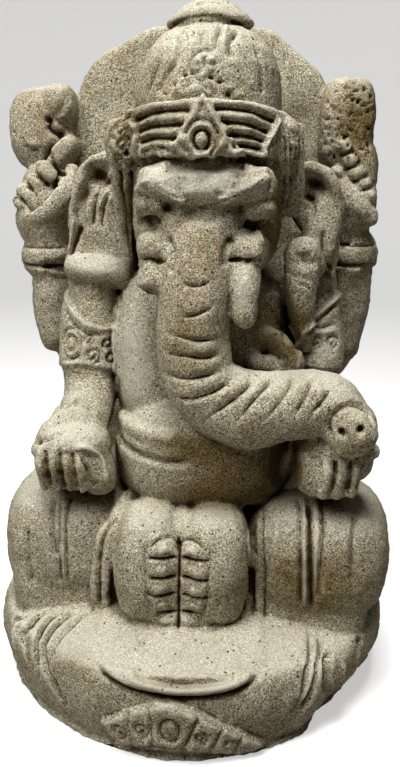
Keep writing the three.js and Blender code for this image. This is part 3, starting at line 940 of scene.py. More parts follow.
@dataclass(frozen=True)
class LeftEmblem(Part):
    """The thick round emblem that the left raised hand holds between curled fingers and thumb."""

    fingers: Places = ((-201, 52, 613), (-213, 54, 598), (-226, 56, 585), (-232, 60, 572))
    finger_radii: tuple[float, float, float] = (17, 15, 10)
    palm: Places = (
        (-172, 66, 616, 8), (-175, 54, 600, 12), (-182, 44, 582, 14), (-200, 42, 566, 15),
        (-218, 46, 557, 14), (-230, 58, 554, 11),
    )
    gaps: tuple[Places, ...] = (
        ((-217, 616), (-206, 605), (-196, 595)),
        ((-229, 602), (-219, 591), (-210, 580)),
        ((-240, 586), (-231, 577), (-223, 568)),
    )
    nails: Places = ((-204, 617), (-216, 602), (-228, 589), (-239, 574))
    emblem: Lump = ((-217, 95, 667), (41, 36, 55), 2.4)
    upper_lobe: Lump = ((-192, 92, 696), (21, 34, 27), 2.6)
    lower_lobe: Lump = ((-188, 88, 636), (17, 32, 27), 2.6)
    fist: Lump = ((-208, 80, 592), (32, 30, 36), 2.6)

    def build(self, stone: Mass) -> None:
        """Adds the emblem, the fingers and the ridge of the palm.

        Args:
            stone: The mass that it joins.
        """
        stone.lump(*self.emblem)
        stone.lump(*self.upper_lobe)
        stone.lump(*self.lower_lobe, tilt=(0, 30, 0))
        stone.lump(*self.fist)
        for at in self.fingers:
            stone.lump(at, self.finger_radii, square=2.4, tilt=(0, 42, 0))
        stone.limb(self.palm)

    def carve(self, chisel: Chisel) -> None:
        """Parts the emblem's lobes and the joints of the fingers.

        Args:
            chisel: The chisel on the fused block.
        """
        chisel.line([(-176, 716), (-178, 700), (-184, 688), (-196, 680)], 6, 2.5)
        chisel.hollow((-200, 676), (8, 8), 10)
        chisel.line([(-202, 672), (-192, 662), (-180, 660)], 7, 9)
        chisel.line([(-180, 662), (-199, 642), (-207, 624)], 5, 6)
        chisel.line([(-200, 640), (-190, 618), (-176, 608)], 5, 5)
        chisel.hollow((-220, 648), (12, 7), -4)
        chisel.line([(-232, 646), (-224, 640), (-211, 641)], 3.5, 3.5, Section.SHARP)
        for gap in self.gaps:
            chisel.line(gap, 3, 4, Section.SHARP, taper=0.1)
        for at in self.nails:
            chisel.line(ring(at, (6.5, 6.5), 0.05, 0.6), 2.4, 3, Section.SHARP)
        chisel.line([(-184, 600), (-196, 586), (-210, 574), (-228, 565)], 6, 9)
        chisel.line([(-188, 618), (-186, 606), (-192, 592)], 4, 6)


@dataclass(frozen=True)
class RightEmblem(Part):
    """The rough block that the right raised hand holds. Its finger joints run down the outer edge."""

    pits: int = 120
    block: Lump = ((173, 95, 676), (34, 38, 56), 3.4)
    fist: Lump = ((184, 88, 620), (30, 38, 46), 2.5)
    knuckles: Places = (
        (168, 648, 12), (176, 632, 11), (184, 616, 12), (194, 604, 11), (201, 591, 10), (161, 618, 9),
    )
    palm: Places = ((164, 56, 606, 12), (176, 46, 584, 14), (202, 52, 564, 13))
    gaps: tuple[Places, ...] = (
        ((160, 636), (182, 644)),
        ((168, 620), (190, 630)),
        ((178, 605), (200, 616)),
        ((186, 595), (208, 603)),
    )

    def build(self, stone: Mass) -> None:
        """Adds the block, the knuckles and the ridge of the palm.

        Args:
            stone: The mass that it joins.
        """
        stone.lump(*self.block)
        stone.lump(*self.fist)
        for x, z, size in self.knuckles:
            stone.lump((x, 56, z), (size, 15, size * 0.75), tilt=(0, 30, 0))
        stone.limb(self.palm)

    def carve(self, chisel: Chisel) -> None:
        """Parts the knuckles and pits the worn block.

        Args:
            chisel: The chisel on the fused block.
        """
        for gap in self.gaps:
            chisel.line(gap, 3.5, 3.5, Section.SHARP)
        chisel.pit((174, 676), (34, 50), self.pits, (2.2, 4.5), 5.5, seed=3)


@dataclass(frozen=True)
class FrontArms(Part):
    """The lower pair of arms, with a carved band round each upper arm."""

    left: Places = (
        (-130, 26, 494, 35, 48), (-134, 0, 424, 36, 46), (-134, -12, 378, 36, 44), (-134, -16, 370, 33, 40),
        (-132, -40, 342, 32, 32), (-138, -76, 318, 35, 26),
    )
    right: Places = (
        (134, 34, 490, 30, 42), (137, 12, 426, 32, 42), (140, -2, 384, 33, 43), (141, -6, 376, 29, 40),
        (150, -36, 350, 30, 34), (160, -76, 328, 32, 30),
    )
    left_band: Places = (
        (-176, 476), (-162, 466), (-148, 451), (-134, 438), (-116, 433), (-90, 436), (-88, 376), (-100, 378),
        (-118, 386), (-140, 389), (-176, 380),
    )
    right_band: Places = (
        (120, 438), (134, 448), (150, 464), (168, 478), (172, 386), (150, 390), (134, 392), (112, 396),
    )

    def build(self, stone: Mass) -> None:
        """Adds the arms.

        Args:
            stone: The mass that it joins.
        """
        for arm in (self.left, self.right):
            stone.limb(arm, steps=48)

    def carve(self, chisel: Chisel) -> None:
        """Carves both armbands and the cuff.

        Args:
            chisel: The chisel on the fused block.
        """
        chisel.panel(self.left_band, 4, edge=4)
        rim = [(-170, 474), (-160, 464), (-146, 448), (-132, 436), (-112, 430), (-92, 432)]
        chisel.line(rim, 3.5, -2, taper=0.05)
        chisel.line([(-160, 450), (-148, 436), (-134, 427), (-112, 422)], 3.5, 5, Section.SHARP)
        for size in (1.0, 0.52):
            chisel.line(ring((-150, 413), (12 * size, 17 * size)), 3.2, 5, Section.SHARP, taper=0)
        for at, size in (((-125, 400), 10), ((-106, 395), 9), ((-110, 412), 8), ((-130, 418), 7)):
            chisel.line(scroll(at, size), 3, 5, Section.SHARP, taper=0.1)
        chisel.line([(-160, 392), (-146, 395), (-136, 402)], 3.2, 4, Section.SHARP)
        chisel.pit((-162, 446), (10, 22), 14, (2.5, 4.5), 3, seed=5)
        chisel.panel(self.right_band, 4.5, edge=4)
        chisel.line([(122, 440), (142, 455), (166, 476)], 4, -3, taper=0.05)
        chisel.line([(122, 432), (142, 447), (162, 466)], 3.4, 5.5, Section.SHARP)
        chisel.line([(126, 441), (142, 437), (160, 441)], 3.2, 4.5, Section.SHARP)
        chisel.line([(128, 434), (144, 431), (162, 434)], 3, -2.5)
        for at in ((138, 421), (155, 421)):
            chisel.line(scroll(at, 8), 3, 5, Section.SHARP, taper=0.1)
        chisel.line([(-112, 338), (-136, 346), (-161, 342), (-172, 336)], 5, 5, Section.STEP)


@dataclass(frozen=True)
class Hands(Part):
    """The front hands. The left lies on the knee, the right hangs its fingers under the trunk's end."""

    left_fingers_x: tuple[float, ...] = (-168, -153, -139, -125)
    right_fingers_x: tuple[float, ...] = (149, 165, 180)
    thumb: Places = ((-142, -78, 334, 11), (-164, -98, 322, 12), (-175, -114, 300, 10))
    gaps: tuple[Places, ...] = (
        ((-161, 308), (-159, 288), (-156, 260)),
        ((-146, 310), (-144, 288), (-141, 258)),
        ((-132, 310), (-129, 288), (-125, 258)),
        ((-120, 304), (-114, 286), (-108, 262)),
        ((142, 310), (143, 292), (141, 272)),
        ((158, 312), (158, 295), (155, 270)),
        ((174, 312), (174, 295), (171, 270)),
        ((188, 312), (187, 296), (184, 276)),
    )

    def build(self, stone: Mass) -> None:
        """Adds both hands.

        Args:
            stone: The mass that it joins.
        """
        stone.lump((-138, -92, 304), (42, 42, 26), square=2.4)
        stone.lump((-139, -100, 283), (39, 35, 27), square=3.6)
        stone.lump((-110, -100, 276), (20, 28, 30), square=2.6, tilt=(0, -20, 0))
        stone.limb(self.thumb)
        for x in self.left_fingers_x:
            stone.limb([(x, -124, 307, 7.5), (x + 1, -136, 290, 7.5), (x + 4, -131, 266, 7)])
        stone.lump((162, -98, 306), (42, 38, 34), square=2.5)
        stone.lump((152, -100, 292), (35, 34, 33), square=3.6)
        stone.lump((199, -112, 314), (9, 12, 9))
        for x in self.right_fingers_x:
            stone.limb([(x + 1, -126, 312, 8), (x, -136, 294, 8), (x - 3, -132, 272, 7.5)])

    def carve(self, chisel: Chisel) -> None:
        """Parts the fingers and carves the thumb.

        Args:
            chisel: The chisel on the fused block.
        """
        for gap in self.gaps:
            chisel.line(gap, 4, 4, Section.SHARP, taper=0.15)
        for at in ((-168, 306), (-153, 309), (-139, 310), (-126, 311)):
            chisel.hollow(at, (7, 6), -3)
        chisel.line([(-129, 314), (-112, 308), (-101, 292), (-94, 262)], 5, -5)
        chisel.line([(-180, 309), (-161, 318), (-142, 327)], 5, 5)


@dataclass(frozen=True)
class Trunk(Part):
    """The trunk, from between the tusks down the chest and round to the right over the belly."""

    half_width: float = 41
    creases: tuple[tuple[tuple[float, float], ...], ...] = (
        ((-14, 498), (5, 495), (21, 500)),
        ((-14, 464), (4, 465), (24, 474)),
        ((-31, 445), (-8, 442), (10, 439), (31, 440)),
        ((-31, 423), (-5, 423), (15, 421), (33, 424)),
        ((-37, 402), (-11, 399), (11, 401), (36, 408)),
        ((-27, 376), (3, 378), (27, 387), (47, 399)),
        ((10, 350), (40, 373), (58, 388), (66, 397)),
        ((45, 346), (64, 374), (79, 391), (85, 402)),
        ((74, 350), (95, 378), (105, 394), (107, 402)),
        ((108, 360), (122, 384), (128, 399)),
        ((126, 362), (140, 380), (146, 390)),
    )

    def build(self, stone: Mass) -> None:
        """Adds the trunk.

        Args:
            stone: The mass that it joins.
        """
        wide = self.half_width
        stone.limb(
            [
                (6, -74, 590, wide + 2, 30), (6, -84, 566, wide + 7, 35), (3, -93, 532, wide + 6, 40),
                (1, -102, 500, wide + 1, 42), (0, -106, 468, wide - 1, 43), (-1, -110, 424, wide - 1, 45),
                (13, -114, 382, wide, 45), (56, -116, 358, wide + 3, 44), (106, -116, 364, wide - 2, 42),
                (146, -116, 366, wide - 6, 38), (172, -126, 348, wide - 12, 34),
            ],
            steps=64,
        )
        stone.lump((172, -142, 344), (27, 25, 27))

    def carve(self, chisel: Chisel) -> None:
        """Cuts the creases across the trunk, and the end with its two nostrils.

        Args:
            chisel: The chisel on the fused block.
        """
        for crease in self.creases:
            chisel.line(crease, 4.5, 2, taper=0.3)
            chisel.line(crease, 2.2, 3.2, Section.SHARP, taper=0.25)
        for above, below in zip(self.creases[2:], self.creases[3:]):
            middle = [((a[0] + b[0]) / 2, (a[1] + b[1]) / 2) for a, b in zip(above[1:], below[1:])]
            chisel.line(middle, 7, -2, taper=0.3)
        chisel.line(ring((170, 350), (24, 25), 0.0, 0.6), 6, 5)
        for at in ((160, 349), (179, 353)):
            chisel.hollow(at, (6.5, 6.5), 9, flat=0.2)


@dataclass(frozen=True)
class Head(Part):
    """The boxy head: a forehead that overhangs the eyes, then a muzzle that widens over the tusks."""

    half_width: float = 84
    tusk: float = 15.5
    skull: Lump = ((6, 62, 620), (70, 60, 140), 3)
    forehead: Lump = ((10, -88, 592), (74, 45, 21), 3.6)
    nose_bridge: Lump = ((6, -90, 583), (34, 46, 20), 2.8)
    left_lid: Lump = ((-50, -94, 567), (17, 26, 9), 4)
    right_lid: Lump = ((68, -94, 566), (17, 26, 10), 4)
    muzzle: Lump = ((8, -60, 530), (66, 52, 46), 2.5)
    left_cheek: Lump = ((-46, -88, 532), (19, 34, 18), 2.5)
    right_cheek: Lump = ((58, -90, 531), (22, 36, 19), 2.5)
    brow_rims: tuple[Places, ...] = (
        ((30, -128, 582, 6), (52, -129, 592, 6), (72, -124, 604, 5)),
        ((-14, -128, 580, 6), (-32, -129, 591, 6), (-48, -126, 598, 5), (-61, -114, 591, 4)),
    )
    temple: Places = ((-95, -62, 640, 9), (-93, -56, 600, 7), (-89, -50, 560, 6), (-84, -46, 520, 5))
    brow_edge: Places = (
        (-60, 591), (-48, 598), (-33, 591), (-23, 581), (-10, 576), (4, 574), (20, 578), (38, 585),
        (56, 592), (72, 604),
    )

    def build(self, stone: Mass) -> None:
        """Adds the head and the tusks.

        Args:
            stone: The mass that it joins.
        """
        tusk = self.tusk
        stone.lump(*self.skull)
        stone.lump((8, -16, 590), (self.half_width, 86, 96), square=3.6)
        stone.lump(*self.forehead, tilt=(-20, 0, 0))
        stone.lump(*self.nose_bridge, tilt=(-20, 0, 0))
        for rim in self.brow_rims:
            stone.limb(rim)
        stone.lump(*self.left_lid, tilt=(-32, 16, 0))
        stone.lump(*self.right_lid, tilt=(-32, -8, 0))
        for mass in (self.muzzle, self.left_cheek, self.right_cheek):
            stone.lump(*mass)
        stone.limb([(53, -98, 525, tusk), (54, -116, 494, tusk + 1), (54, -122, 462, tusk - 2)], caps=8)
        stone.limb([(-43, -98, 520, tusk + 1), (-46, -108, 496, tusk + 1)])
        stone.limb(self.temple)

    def carve(self, chisel: Chisel) -> None:
        """Carves the edge of the forehead, the eyes and the cheeks.

        Args:
            chisel: The chisel on the fused block.
        """
        chisel.line(self.brow_edge, 3, 3, Section.STEP, taper=0.06)
        chisel.line([(-66, 619), (-40, 617), (-10, 616), (20, 616), (50, 617), (80, 619)], 10, 4, taper=0.05)
        chisel.pit((8, 594), (66, 16), 30, (2.0, 5.0), 2.5, seed=13)
        chisel.line([(-40, 578), (-20, 568), (0, 564), (22, 565), (42, 573)], 9, 3)
        chisel.line([(-26, 587), (-16, 583), (-6, 585)], 2.6, 3, Section.SHARP)
        chisel.line([(20, 590), (32, 586), (42, 590)], 2.6, 3, Section.SHARP)
        chisel.line([(-56, 600), (-44, 604), (-32, 600), (-20, 605), (-4, 603), (14, 606)], 6, -2)
        chisel.line([(76, 590), (80, 602), (76, 614)], 3.5, 4)
        chisel.line([(-66, 561), (-54, 558), (-38, 563)], 9, 8)
        chisel.line([(50, 560), (64, 556), (79, 562)], 9, 7)
        chisel.line([(-60, 517), (-47, 520), (-37, 516), (-27, 522)], 3, 4, Section.SHARP)
        chisel.hollow((-36, 519), (5, 4), 4)
        chisel.line([(36, 520), (46, 521), (60, 520), (73, 524)], 3.2, 5)
        chisel.line([(35, 512), (33, 531), (41, 546)], 7, 5)
        chisel.line([(-26, 505), (-22, 528), (-30, 546)], 7, 5)
        chisel.line([(40, 545), (53, 550), (67, 548), (76, 536)], 5, -3)
        chisel.hollow((-50, 484), (13, 10), 16, flat=0.2)


@dataclass(frozen=True)
class Ears(Part):
    """The ears: broad leaves that hang from under the band, hollow at the top, with a thick hem."""

    thickness: float = 46
    rims: tuple[Places, ...] = (
        (
            (-100, -20, 628, 8), (-124, -24, 624, 7), (-140, -24, 608, 7), (-149, -24, 582, 6),
            (-154, -22, 550, 5),
        ),
        (
            (102, -18, 618, 7), (122, -24, 620, 8), (140, -26, 613, 8), (151, -24, 597, 7),
            (155, -22, 570, 5),
        ),
    )
    strands: Places = ((90, -66), (97, -63), (104, -58), (110, -50))
    left: tuple[tuple[float, float], ...] = (
        (-88, 640), (-106, 636), (-126, 630), (-139, 617), (-148, 600), (-153, 578), (-157, 553), (-160, 525),
        (-164, 494), (-150, 500), (-136, 499), (-120, 494), (-104, 490), (-84, 488), (-80, 540), (-80, 600),
    )
    right: tuple[tuple[float, float], ...] = (
        (92, 622), (109, 622), (123, 625), (140, 618), (153, 601), (157, 584), (160, 550), (161, 515),
        (156, 492), (144, 510), (130, 536), (108, 560), (88, 600),
    )

    def build(self, stone: Mass) -> None:
        """Adds the ears.

        Args:
            stone: The mass that it joins.
        """
        stone.plate(self.left, -24, self.thickness, 6)
        stone.plate(self.right, -22, self.thickness, 6)
        stone.lump((-122, -21, 497), (41, 24, 17), square=3, tilt=(-30, 4, 0))
        stone.lump((138, -18, 546), (22, 18, 56), square=2.6, tilt=(-8, 14, 0))
        for rim in self.rims:
            stone.limb(rim)
        for x, y in self.strands:
            strand = [(x - 3, y, 662, 5), (x, y, 622, 5), (x + 1, y + 3, 592, 4.5), (x - 3, y + 8, 566, 3.5)]
            stone.limb(strand)

    def carve(self, chisel: Chisel) -> None:
        """Hollows the ears and carves their folds.

        Args:
            chisel: The chisel on the fused block.
        """
        chisel.hollow((-119, 607), (25, 18), 15, tilt=-35)
        chisel.hollow((-134, 588), (11, 24), 6, tilt=-20)
        chisel.line([(-104, 605), (-116, 592), (-124, 575), (-129, 545)], 5, 6)
        chisel.line([(-99, 598), (-110, 583), (-116, 566), (-118, 545)], 4.5, 5)
        chisel.line([(-108, 601), (-119, 586), (-124, 560)], 4, -3)
        chisel.line([(-98, 612), (-104, 596), (-108, 575)], 4, -4)
        chisel.line([(-140, 552), (-149, 532), (-158, 512)], 6, 6)
        chisel.line([(-150, 560), (-154, 535), (-160, 515)], 4, -3)
        chisel.hollow((128, 602), (18, 11), 9, tilt=-12)
        chisel.hollow((122, 588), (13, 14), 7)
        chisel.line([(112, 586), (122, 580), (131, 582)], 4.5, -3)
        chisel.line([(125, 590), (128, 575), (124, 560)], 5, 4)
        chisel.line([(140, 552), (142, 530), (154, 500)], 6, 5)
        for x in (93, 100, 107):
            gap = [(x - 3, 656), (x, 622), (x + 1, 592), (x - 2, 574)]
            chisel.line(gap, 2.6, 5, Section.SHARP, taper=0.1)
        chisel.pit((102, 615), (12, 50), 30, (2.0, 3.5), 3.5, seed=7)


@dataclass(frozen=True)
class Snake(Part):
    """The sacred snake beside the right tusk, and its coils on the chest."""

    body: Places = (
        (117, -46, 524, 21, 22), (117, -48, 486, 19, 20), (120, -44, 449, 13, 16), (124, -38, 420, 8, 10),
    )
    coils: tuple[Places, ...] = (
        ((66, -54, 430, 13), (92, -62, 424, 14), (106, -62, 404, 13), (108, -58, 384, 11)),
        ((66, -66, 400, 11), (88, -70, 398, 11), (98, -68, 384, 10)),
    )

    def build(self, stone: Mass) -> None:
        """Adds the snake.

        Args:
            stone: The mass that it joins.
        """
        for limb in (self.body, *self.coils):
            stone.limb(limb)

    def carve(self, chisel: Chisel) -> None:
        """Carves the mouth, the folds under it and the groove along the body.

        Args:
            chisel: The chisel on the fused block.
        """
        chisel.hollow((120, 518), (17, 12), 6, tilt=-20)
        chisel.line([(106, 528), (116, 524), (128, 528)], 3, 3, Section.SHARP)
        chisel.line([(105, 505), (112, 494), (126, 489)], 2.4, 3, Section.SHARP)
        chisel.line([(110, 508), (118, 499), (129, 496)], 2.2, 2.5, Section.SHARP)
        chisel.pit((117, 505), (16, 30), 14, (2.0, 4.0), 3, seed=9)
        chisel.line([(82, 484), (98, 462), (114, 430), (120, 408)], 5, -4)
        chisel.line([(74, 478), (90, 452), (106, 424)], 5, 4)


@dataclass(frozen=True)
class Crown(Part):
    """The tall headdress, with a small rimmed lid and a rosette in front."""

    x: float = 6
    y: float = -22
    half_width: float = 82
    half_depth: float = 80
    profile: tuple[tuple[float, float], ...] = (
        (0, 670), (0.98, 672), (1.0, 684), (1.0, 702), (0.97, 720), (0.88, 738), (0.72, 753), (0.57, 761),
        (0.5, 764), (0.5, 766), (0.57, 767.5), (0.585, 770), (0.57, 773), (0.5, 779), (0.38, 786),
        (0.26, 791), (0.24, 793), (0.2, 797), (0, 799.5),
    )
    rosette: tuple[float, float] = (5, 717)
    strands: tuple[Places, ...] = (
        ((22, 764), (17, 744), (16, 728)),
        ((40, 757), (31, 739), (33, 722)),
        ((-41, 732), (-50, 708), (-60, 686)),
        ((56, 742), (64, 715), (66, 688)),
        ((0, 760), (0, 745), (2, 735)),
    )
    leaf_gaps: Places = (
        (-14, 706, 4), (13, 703, 4), (22, 700, 5), (31, 688, 5), (-24, 697, 5), (-34, 688, 4),
    )

    def build(self, stone: Mass) -> None:
        """Adds the headdress.

        Args:
            stone: The mass that it joins.
        """
        stone.turned(
            self.profile,
            lambda across, back, z: (self.x + across * self.half_width, self.y + back * self.half_depth, z),
        )
        stone.lump((5, -86, 717), (15, 16, 15))
        stone.lump((-3, -92, 692), (24, 16, 13))

    def carve(self, chisel: Chisel) -> None:
        """Carves the bound strands and the rosette.

        Args:
            chisel: The chisel on the fused block.
        """
        chisel.line([(-47, 686), (-36, 708), (-25, 724), (-23, 742), (-20, 758)], 4, 4, Section.STEP)
        for strand in self.strands:
            chisel.line(strand, 3.6, 5.5, Section.SHARP, taper=0.25)
        chisel.line([(27, 762), (24, 745), (24, 728)], 5, -3)
        x, z = self.rosette
        for petal in range(6):
            angle = math.radians(30 + 60 * petal)
            chisel.hollow((x + 9 * math.cos(angle), z + 9 * math.sin(angle)), (5.5, 5.5), -4.5)
        chisel.hollow(self.rosette, (3.5, 3.5), 3)
        chisel.line(ring(self.rosette, (15, 15), 0.1, 0.9), 2.6, 4, Section.SHARP)
        chisel.line(ring((-3, 688), (21, 17), 0.0, 0.5), 3, -4)
        chisel.line(ring((-3, 688), (14, 11), 0.0, 0.5), 3, 5, Section.SHARP)
        for x, z, size in self.leaf_gaps:
            chisel.hollow((x, z), (size, size * 0.8), 5)
        for at in ((-32, 684), (42, 688), (33, 695)):
            chisel.hollow(at, (8, 6), -4)
        chisel.line([(-42, 764), (-23, 767), (-1, 769), (20, 768), (40, 764), (50, 758)], 3.5, 4, taper=0.05)
        chisel.line([(-12, 783), (5, 786), (22, 783)], 3.5, 3)


@dataclass(frozen=True)
class BrowBand(Part):
    """The band around the brow, its ridges, and the pointed ornament with a gem in front."""

    x: float = 5
    y: float = -34
    half_width: float = 98
    half_depth: float = 97
    bottom_z: float = 629
    top_z: float = 681
    side_drop: float = 10
    grooves: tuple[Places, ...] = (
        ((-70, 660), (-48, 667), (-27, 669), (-4, 669)),
        ((-66, 649), (-48, 654), (-29, 655), (-11, 655)),
        ((-62, 638), (-48, 642), (-32, 642), (-17, 641)),
        ((-57, 627), (-45, 631), (-34, 631), (-23, 629)),
        ((18, 671), (39, 671), (59, 669), (83, 661)),
        ((25, 658), (42, 658), (59, 656), (77, 650)),
        ((31, 646), (45, 646), (59, 645), (73, 641)),
        ((37, 634), (47, 635), (59, 634), (70, 632)),
    )
    gem: tuple[float, float] = (7, 640)
    point: Places = ((7, 686), (-32, 624), (52, 624))
    lower_edge: Places = (
        (-64, 630), (-54, 627), (-44, 631), (-34, 628), (-25, 634), (-14, 630), (-4, 624), (8, 628),
        (18, 624), (28, 633), (40, 628), (52, 631), (64, 628), (78, 630),
    )

    def build(self, stone: Mass) -> None:
        """Adds the band and its ornaments.

        Args:
            stone: The mass that it joins.
        """
        profile = [
            (0, self.bottom_z), (0.92, self.bottom_z), (0.985, self.bottom_z + 3), (1.0, self.bottom_z + 12),
            (1.0, self.top_z - 9), (0.99, self.top_z - 2), (0.95, self.top_z), (0, self.top_z),
        ]
        stone.turned(profile, self.shape)
        stone.plate(self.point, -137, 24, 4, smooth=False)
        stone.lump((7, -134, 640), (7, 9, 9))
        stone.lump((-85, -78, 640), (17, 20, 27), square=2.4)
        stone.lump((92, -66, 638), (15, 24, 32), square=2.4)

    def shape(self, across: float, back: float, z: float) -> tuple[float, float, float]:
        """Lets the band drop towards its sides.

        Args:
            across: The share of the half width.
            back: The share of the half depth.
            z: The height.

        Returns:
            The place in millimetres.
        """
        return (
            self.x + across * self.half_width,
            self.y + back * self.half_depth,
            z - self.side_drop * min(1.0, across**2),
        )

    def carve(self, chisel: Chisel) -> None:
        """Carves the ridges and the ornaments.

        Args:
            chisel: The chisel on the fused block.
        """
        for groove in self.grooves:
            chisel.line(groove, 5.5, 5.5, taper=0.08)
            chisel.line(groove, 2.5, 2.5, Section.SHARP, taper=0.08)
        self.carve_point(chisel)
        self.carve_ends(chisel)
        chisel.pit((8, 645), (84, 30), 60, (1.8, 3.6), 2.4, seed=15)

    def carve_point(self, chisel: Chisel) -> None:
        """Carves the pointed ornament and its gem.

        Args:
            chisel: The chisel on the fused block.
        """
        chisel.line([(9, 680), (19, 661), (31, 642), (45, 620)], 3, -3, Section.SHARP, taper=0.05)
        chisel.line([(5, 680), (-3, 661), (-14, 644), (-26, 627)], 3, -2.5, Section.SHARP, taper=0.05)
        chisel.line(ring(self.gem, (13, 14)), 2.8, -3.5, taper=0)
        chisel.line(ring(self.gem, (8.5, 10)), 2.4, 5, Section.SHARP, taper=0)
        chisel.line(ring((7, 641), (17, 19), 0.02, 0.48), 2.6, 4, Section.SHARP, taper=0.1)
        chisel.line([(7, 676), (7, 664)], 4, 2.5)
        for at in ((-12, 640), (28, 638)):
            chisel.hollow(at, (6.5, 6.5), -5)
        chisel.line(self.lower_edge, 5, -4, taper=0.05)
        chisel.line([(-24, 620), (-14, 632), (-2, 626)], 2.6, 3, Section.SHARP)
        chisel.line([(20, 624), (32, 632), (42, 622)], 2.6, 3, Section.SHARP)

    def carve_ends(self, chisel: Chisel) -> None:
        """Carves the flower at the left end and the strap at the right.

        Args:
            chisel: The chisel on the fused block.
        """
        chisel.line([(-73, 664), (-64, 652), (-64, 638), (-68, 624)], 4.5, -5)
        rim = [(-70, 668), (-80, 664), (-90, 654), (-95, 640), (-93, 624)]
        chisel.line(rim, 3.2, 5, Section.SHARP, taper=0.1)
        for at, size in (((-82, 652), 8), ((-80, 636), 8), ((-86, 622), 6)):
            chisel.line(scroll(at, size), 2.8, 5, Section.SHARP, taper=0.1)
        for at in ((-74, 644), (-90, 644), (-76, 628)):
            chisel.hollow(at, (4.5, 4.5), 6)
        chisel.line([(-86, 622), (-76, 614), (-66, 620)], 4, -4)
        chisel.line([(84, 667), (77, 651), (71, 638), (67, 627)], 5, -6, taper=0.1)
        chisel.hollow((79, 633), (8, 8), -6)
        for step in range(5):
            x = 90 + step * 3
            chisel.line([(x - 2, 664 - step * 2), (x + 1, 640), (x, 610)], 2.8, 3.5, Section.SHARP)


@dataclass(frozen=True)
class WeatherAndPaintedLight(Part):
    """Pits in front from years outdoors, pale places of dust where hands and rain reach and of painted light,
    and brown places of dirt and of painted shade elsewhere.

    Each pale or brown place is x, z, half its width, half its height and how strong it is.
    """

    pits: int = 170
    # Some pale places are dust; others are painted light, such as on the forehead under the band, the left of
    # the chest and the right armband.
    pale: Places = (
        (-122, 505, 42, 20, 1.0), (140, 560, 22, 60, 0.3), (8, 600, 76, 20, 1.0), (-72, 400, 30, 80, 0.9),
        (54, 490, 13, 34, 0.8), (-60, 612, 40, 16, 0.3), (-45, 236, 42, 22, 0.35), (26, 236, 40, 22, 0.3),
        (-136, 352, 36, 30, 0.35), (-140, 318, 44, 16, 0.6), (110, 240, 44, 26, 0.5),
        (-150, 228, 60, 28, 0.4), (120, 350, 70, 30, 0.2), (148, 420, 22, 36, 0.6), (-90, 104, 80, 12, 0.2),
        (0, 735, 80, 50, 0.5),
    )
    # Some brown places are dirt; others are painted shade, such as on the right emblem, the front of the
    # right leg, the face of the left hand, under the belly and in the deep gap beside it.
    brown: Places = (
        (188, 672, 44, 66, 0.9), (-6, 90, 92, 10, 1.0),
        (-4, 440, 44, 70, 0.6), (-8, 165, 80, 44, 0.45), (-55, 655, 50, 34, 0.7), (-200, 668, 50, 60, 0.4),
        (-95, 700, 50, 60, 0.3), (140, 165, 80, 60, 0.8), (-140, 284, 44, 24, 0.7), (20, 285, 100, 36, 0.4),
        (103, 610, 12, 60, 0.5), (104, 290, 22, 50, 1.0),
        (84, 590, 8, 60, 0.7), (84, 545, 20, 40, 0.6), (-84, 580, 12, 60, 0.9),
        (92, 440, 40, 40, 1.0), (118, 420, 20, 60, 0.4), (0, 315, 60, 18, 0.6), (110, 250, 70, 16, 0.9),
        (20, 250, 60, 18, 0.8), (-140, 250, 50, 12, 0.9), (60, 280, 70, 44, 0.5),
        (0, 60, 90, 30, 0.35), (-130, 440, 34, 50, 0.3),
    )

    def carve(self, chisel: Chisel) -> None:
        """Pits the front and marks the pale and the brown places.

        Args:
            chisel: The chisel on the fused block.
        """
        chisel.pit((0, 400), (230, 400), self.pits, (1.8, 5.0), 2.6, seed=11)
        for x, z, wide, tall, amount in self.pale:
            chisel.stain((x, z), (wide, tall), amount)
        for x, z, wide, tall, amount in self.brown:
            chisel.stain((x, z), (wide, tall), -amount)


class Tint(Enum):
    """The sRGB colours of the crystals, of what weather leaves on the stone, and of the painted shade and
    painted light laid with them.
    """

    FELDSPAR = "#f6f1de"
    HORNBLENDE = "#3a3324"
    STAIN = "#c6bba0"
    # Moss, and also the colour of the brown places, which are partly painted shade.
    MOSS_AND_PAINTED_SHADE = "#aa9a70"
    # Dirt and painted shade in the hollows.
    DIRT_AND_PAINTED_SHADE = "#7d6740"
    # Dirt and painted shade in the grooves; it also darkens the open pores.
    GROOVE = "#74603f"
    # Dust and painted light on the open tops, the ridges and the pale places.
    DUST_AND_PAINTED_LIGHT = "#d8d4c4"


class Blend(Enum):
    """How a coat changes the colour under it: a stain lets the grains show through, a cover hides them."""

    STAIN = "MULTIPLY"
    COVER = "MIX"


@dataclass(frozen=True)
class Coat:
    """Crystals, dirt, moss, dust, painted shade or painted light, which show where a mark on the stone runs
    from one value to another.
    """

    tint: Tint
    blend: Blend
    none: float
    full: float
    top: float = 1.0

    def lay(
        self,
        tree: bpy.types.NodeTree,
        under: bpy.types.NodeSocket,
        mark: bpy.types.NodeSocket,
        within: bpy.types.NodeSocket | None = None,
    ) -> bpy.types.NodeSocket:
        """Lays the coat over a colour.

        Args:
            tree: The material's node tree.
            under: The colour under the coat.
            mark: The value that says where the coat lies.
            within: A mask that bounds the coat and takes the place of its top.

        Returns:
            The colour with the coat on it.
        """
        share = node(
            tree,
            "ShaderNodeMapRange",
            {0: mark, 1: self.none, 2: self.full, 4: self.top if within is None else within},
            interpolation_type="SMOOTHSTEP",
        )
        mixed = node(
            tree,
            "ShaderNodeMix",
            {0: share.outputs[0], 6: under, 7: linear(self.tint.value)},
            data_type="RGBA",
            blend_type=self.blend.value,
        )
        return mixed.outputs[2]


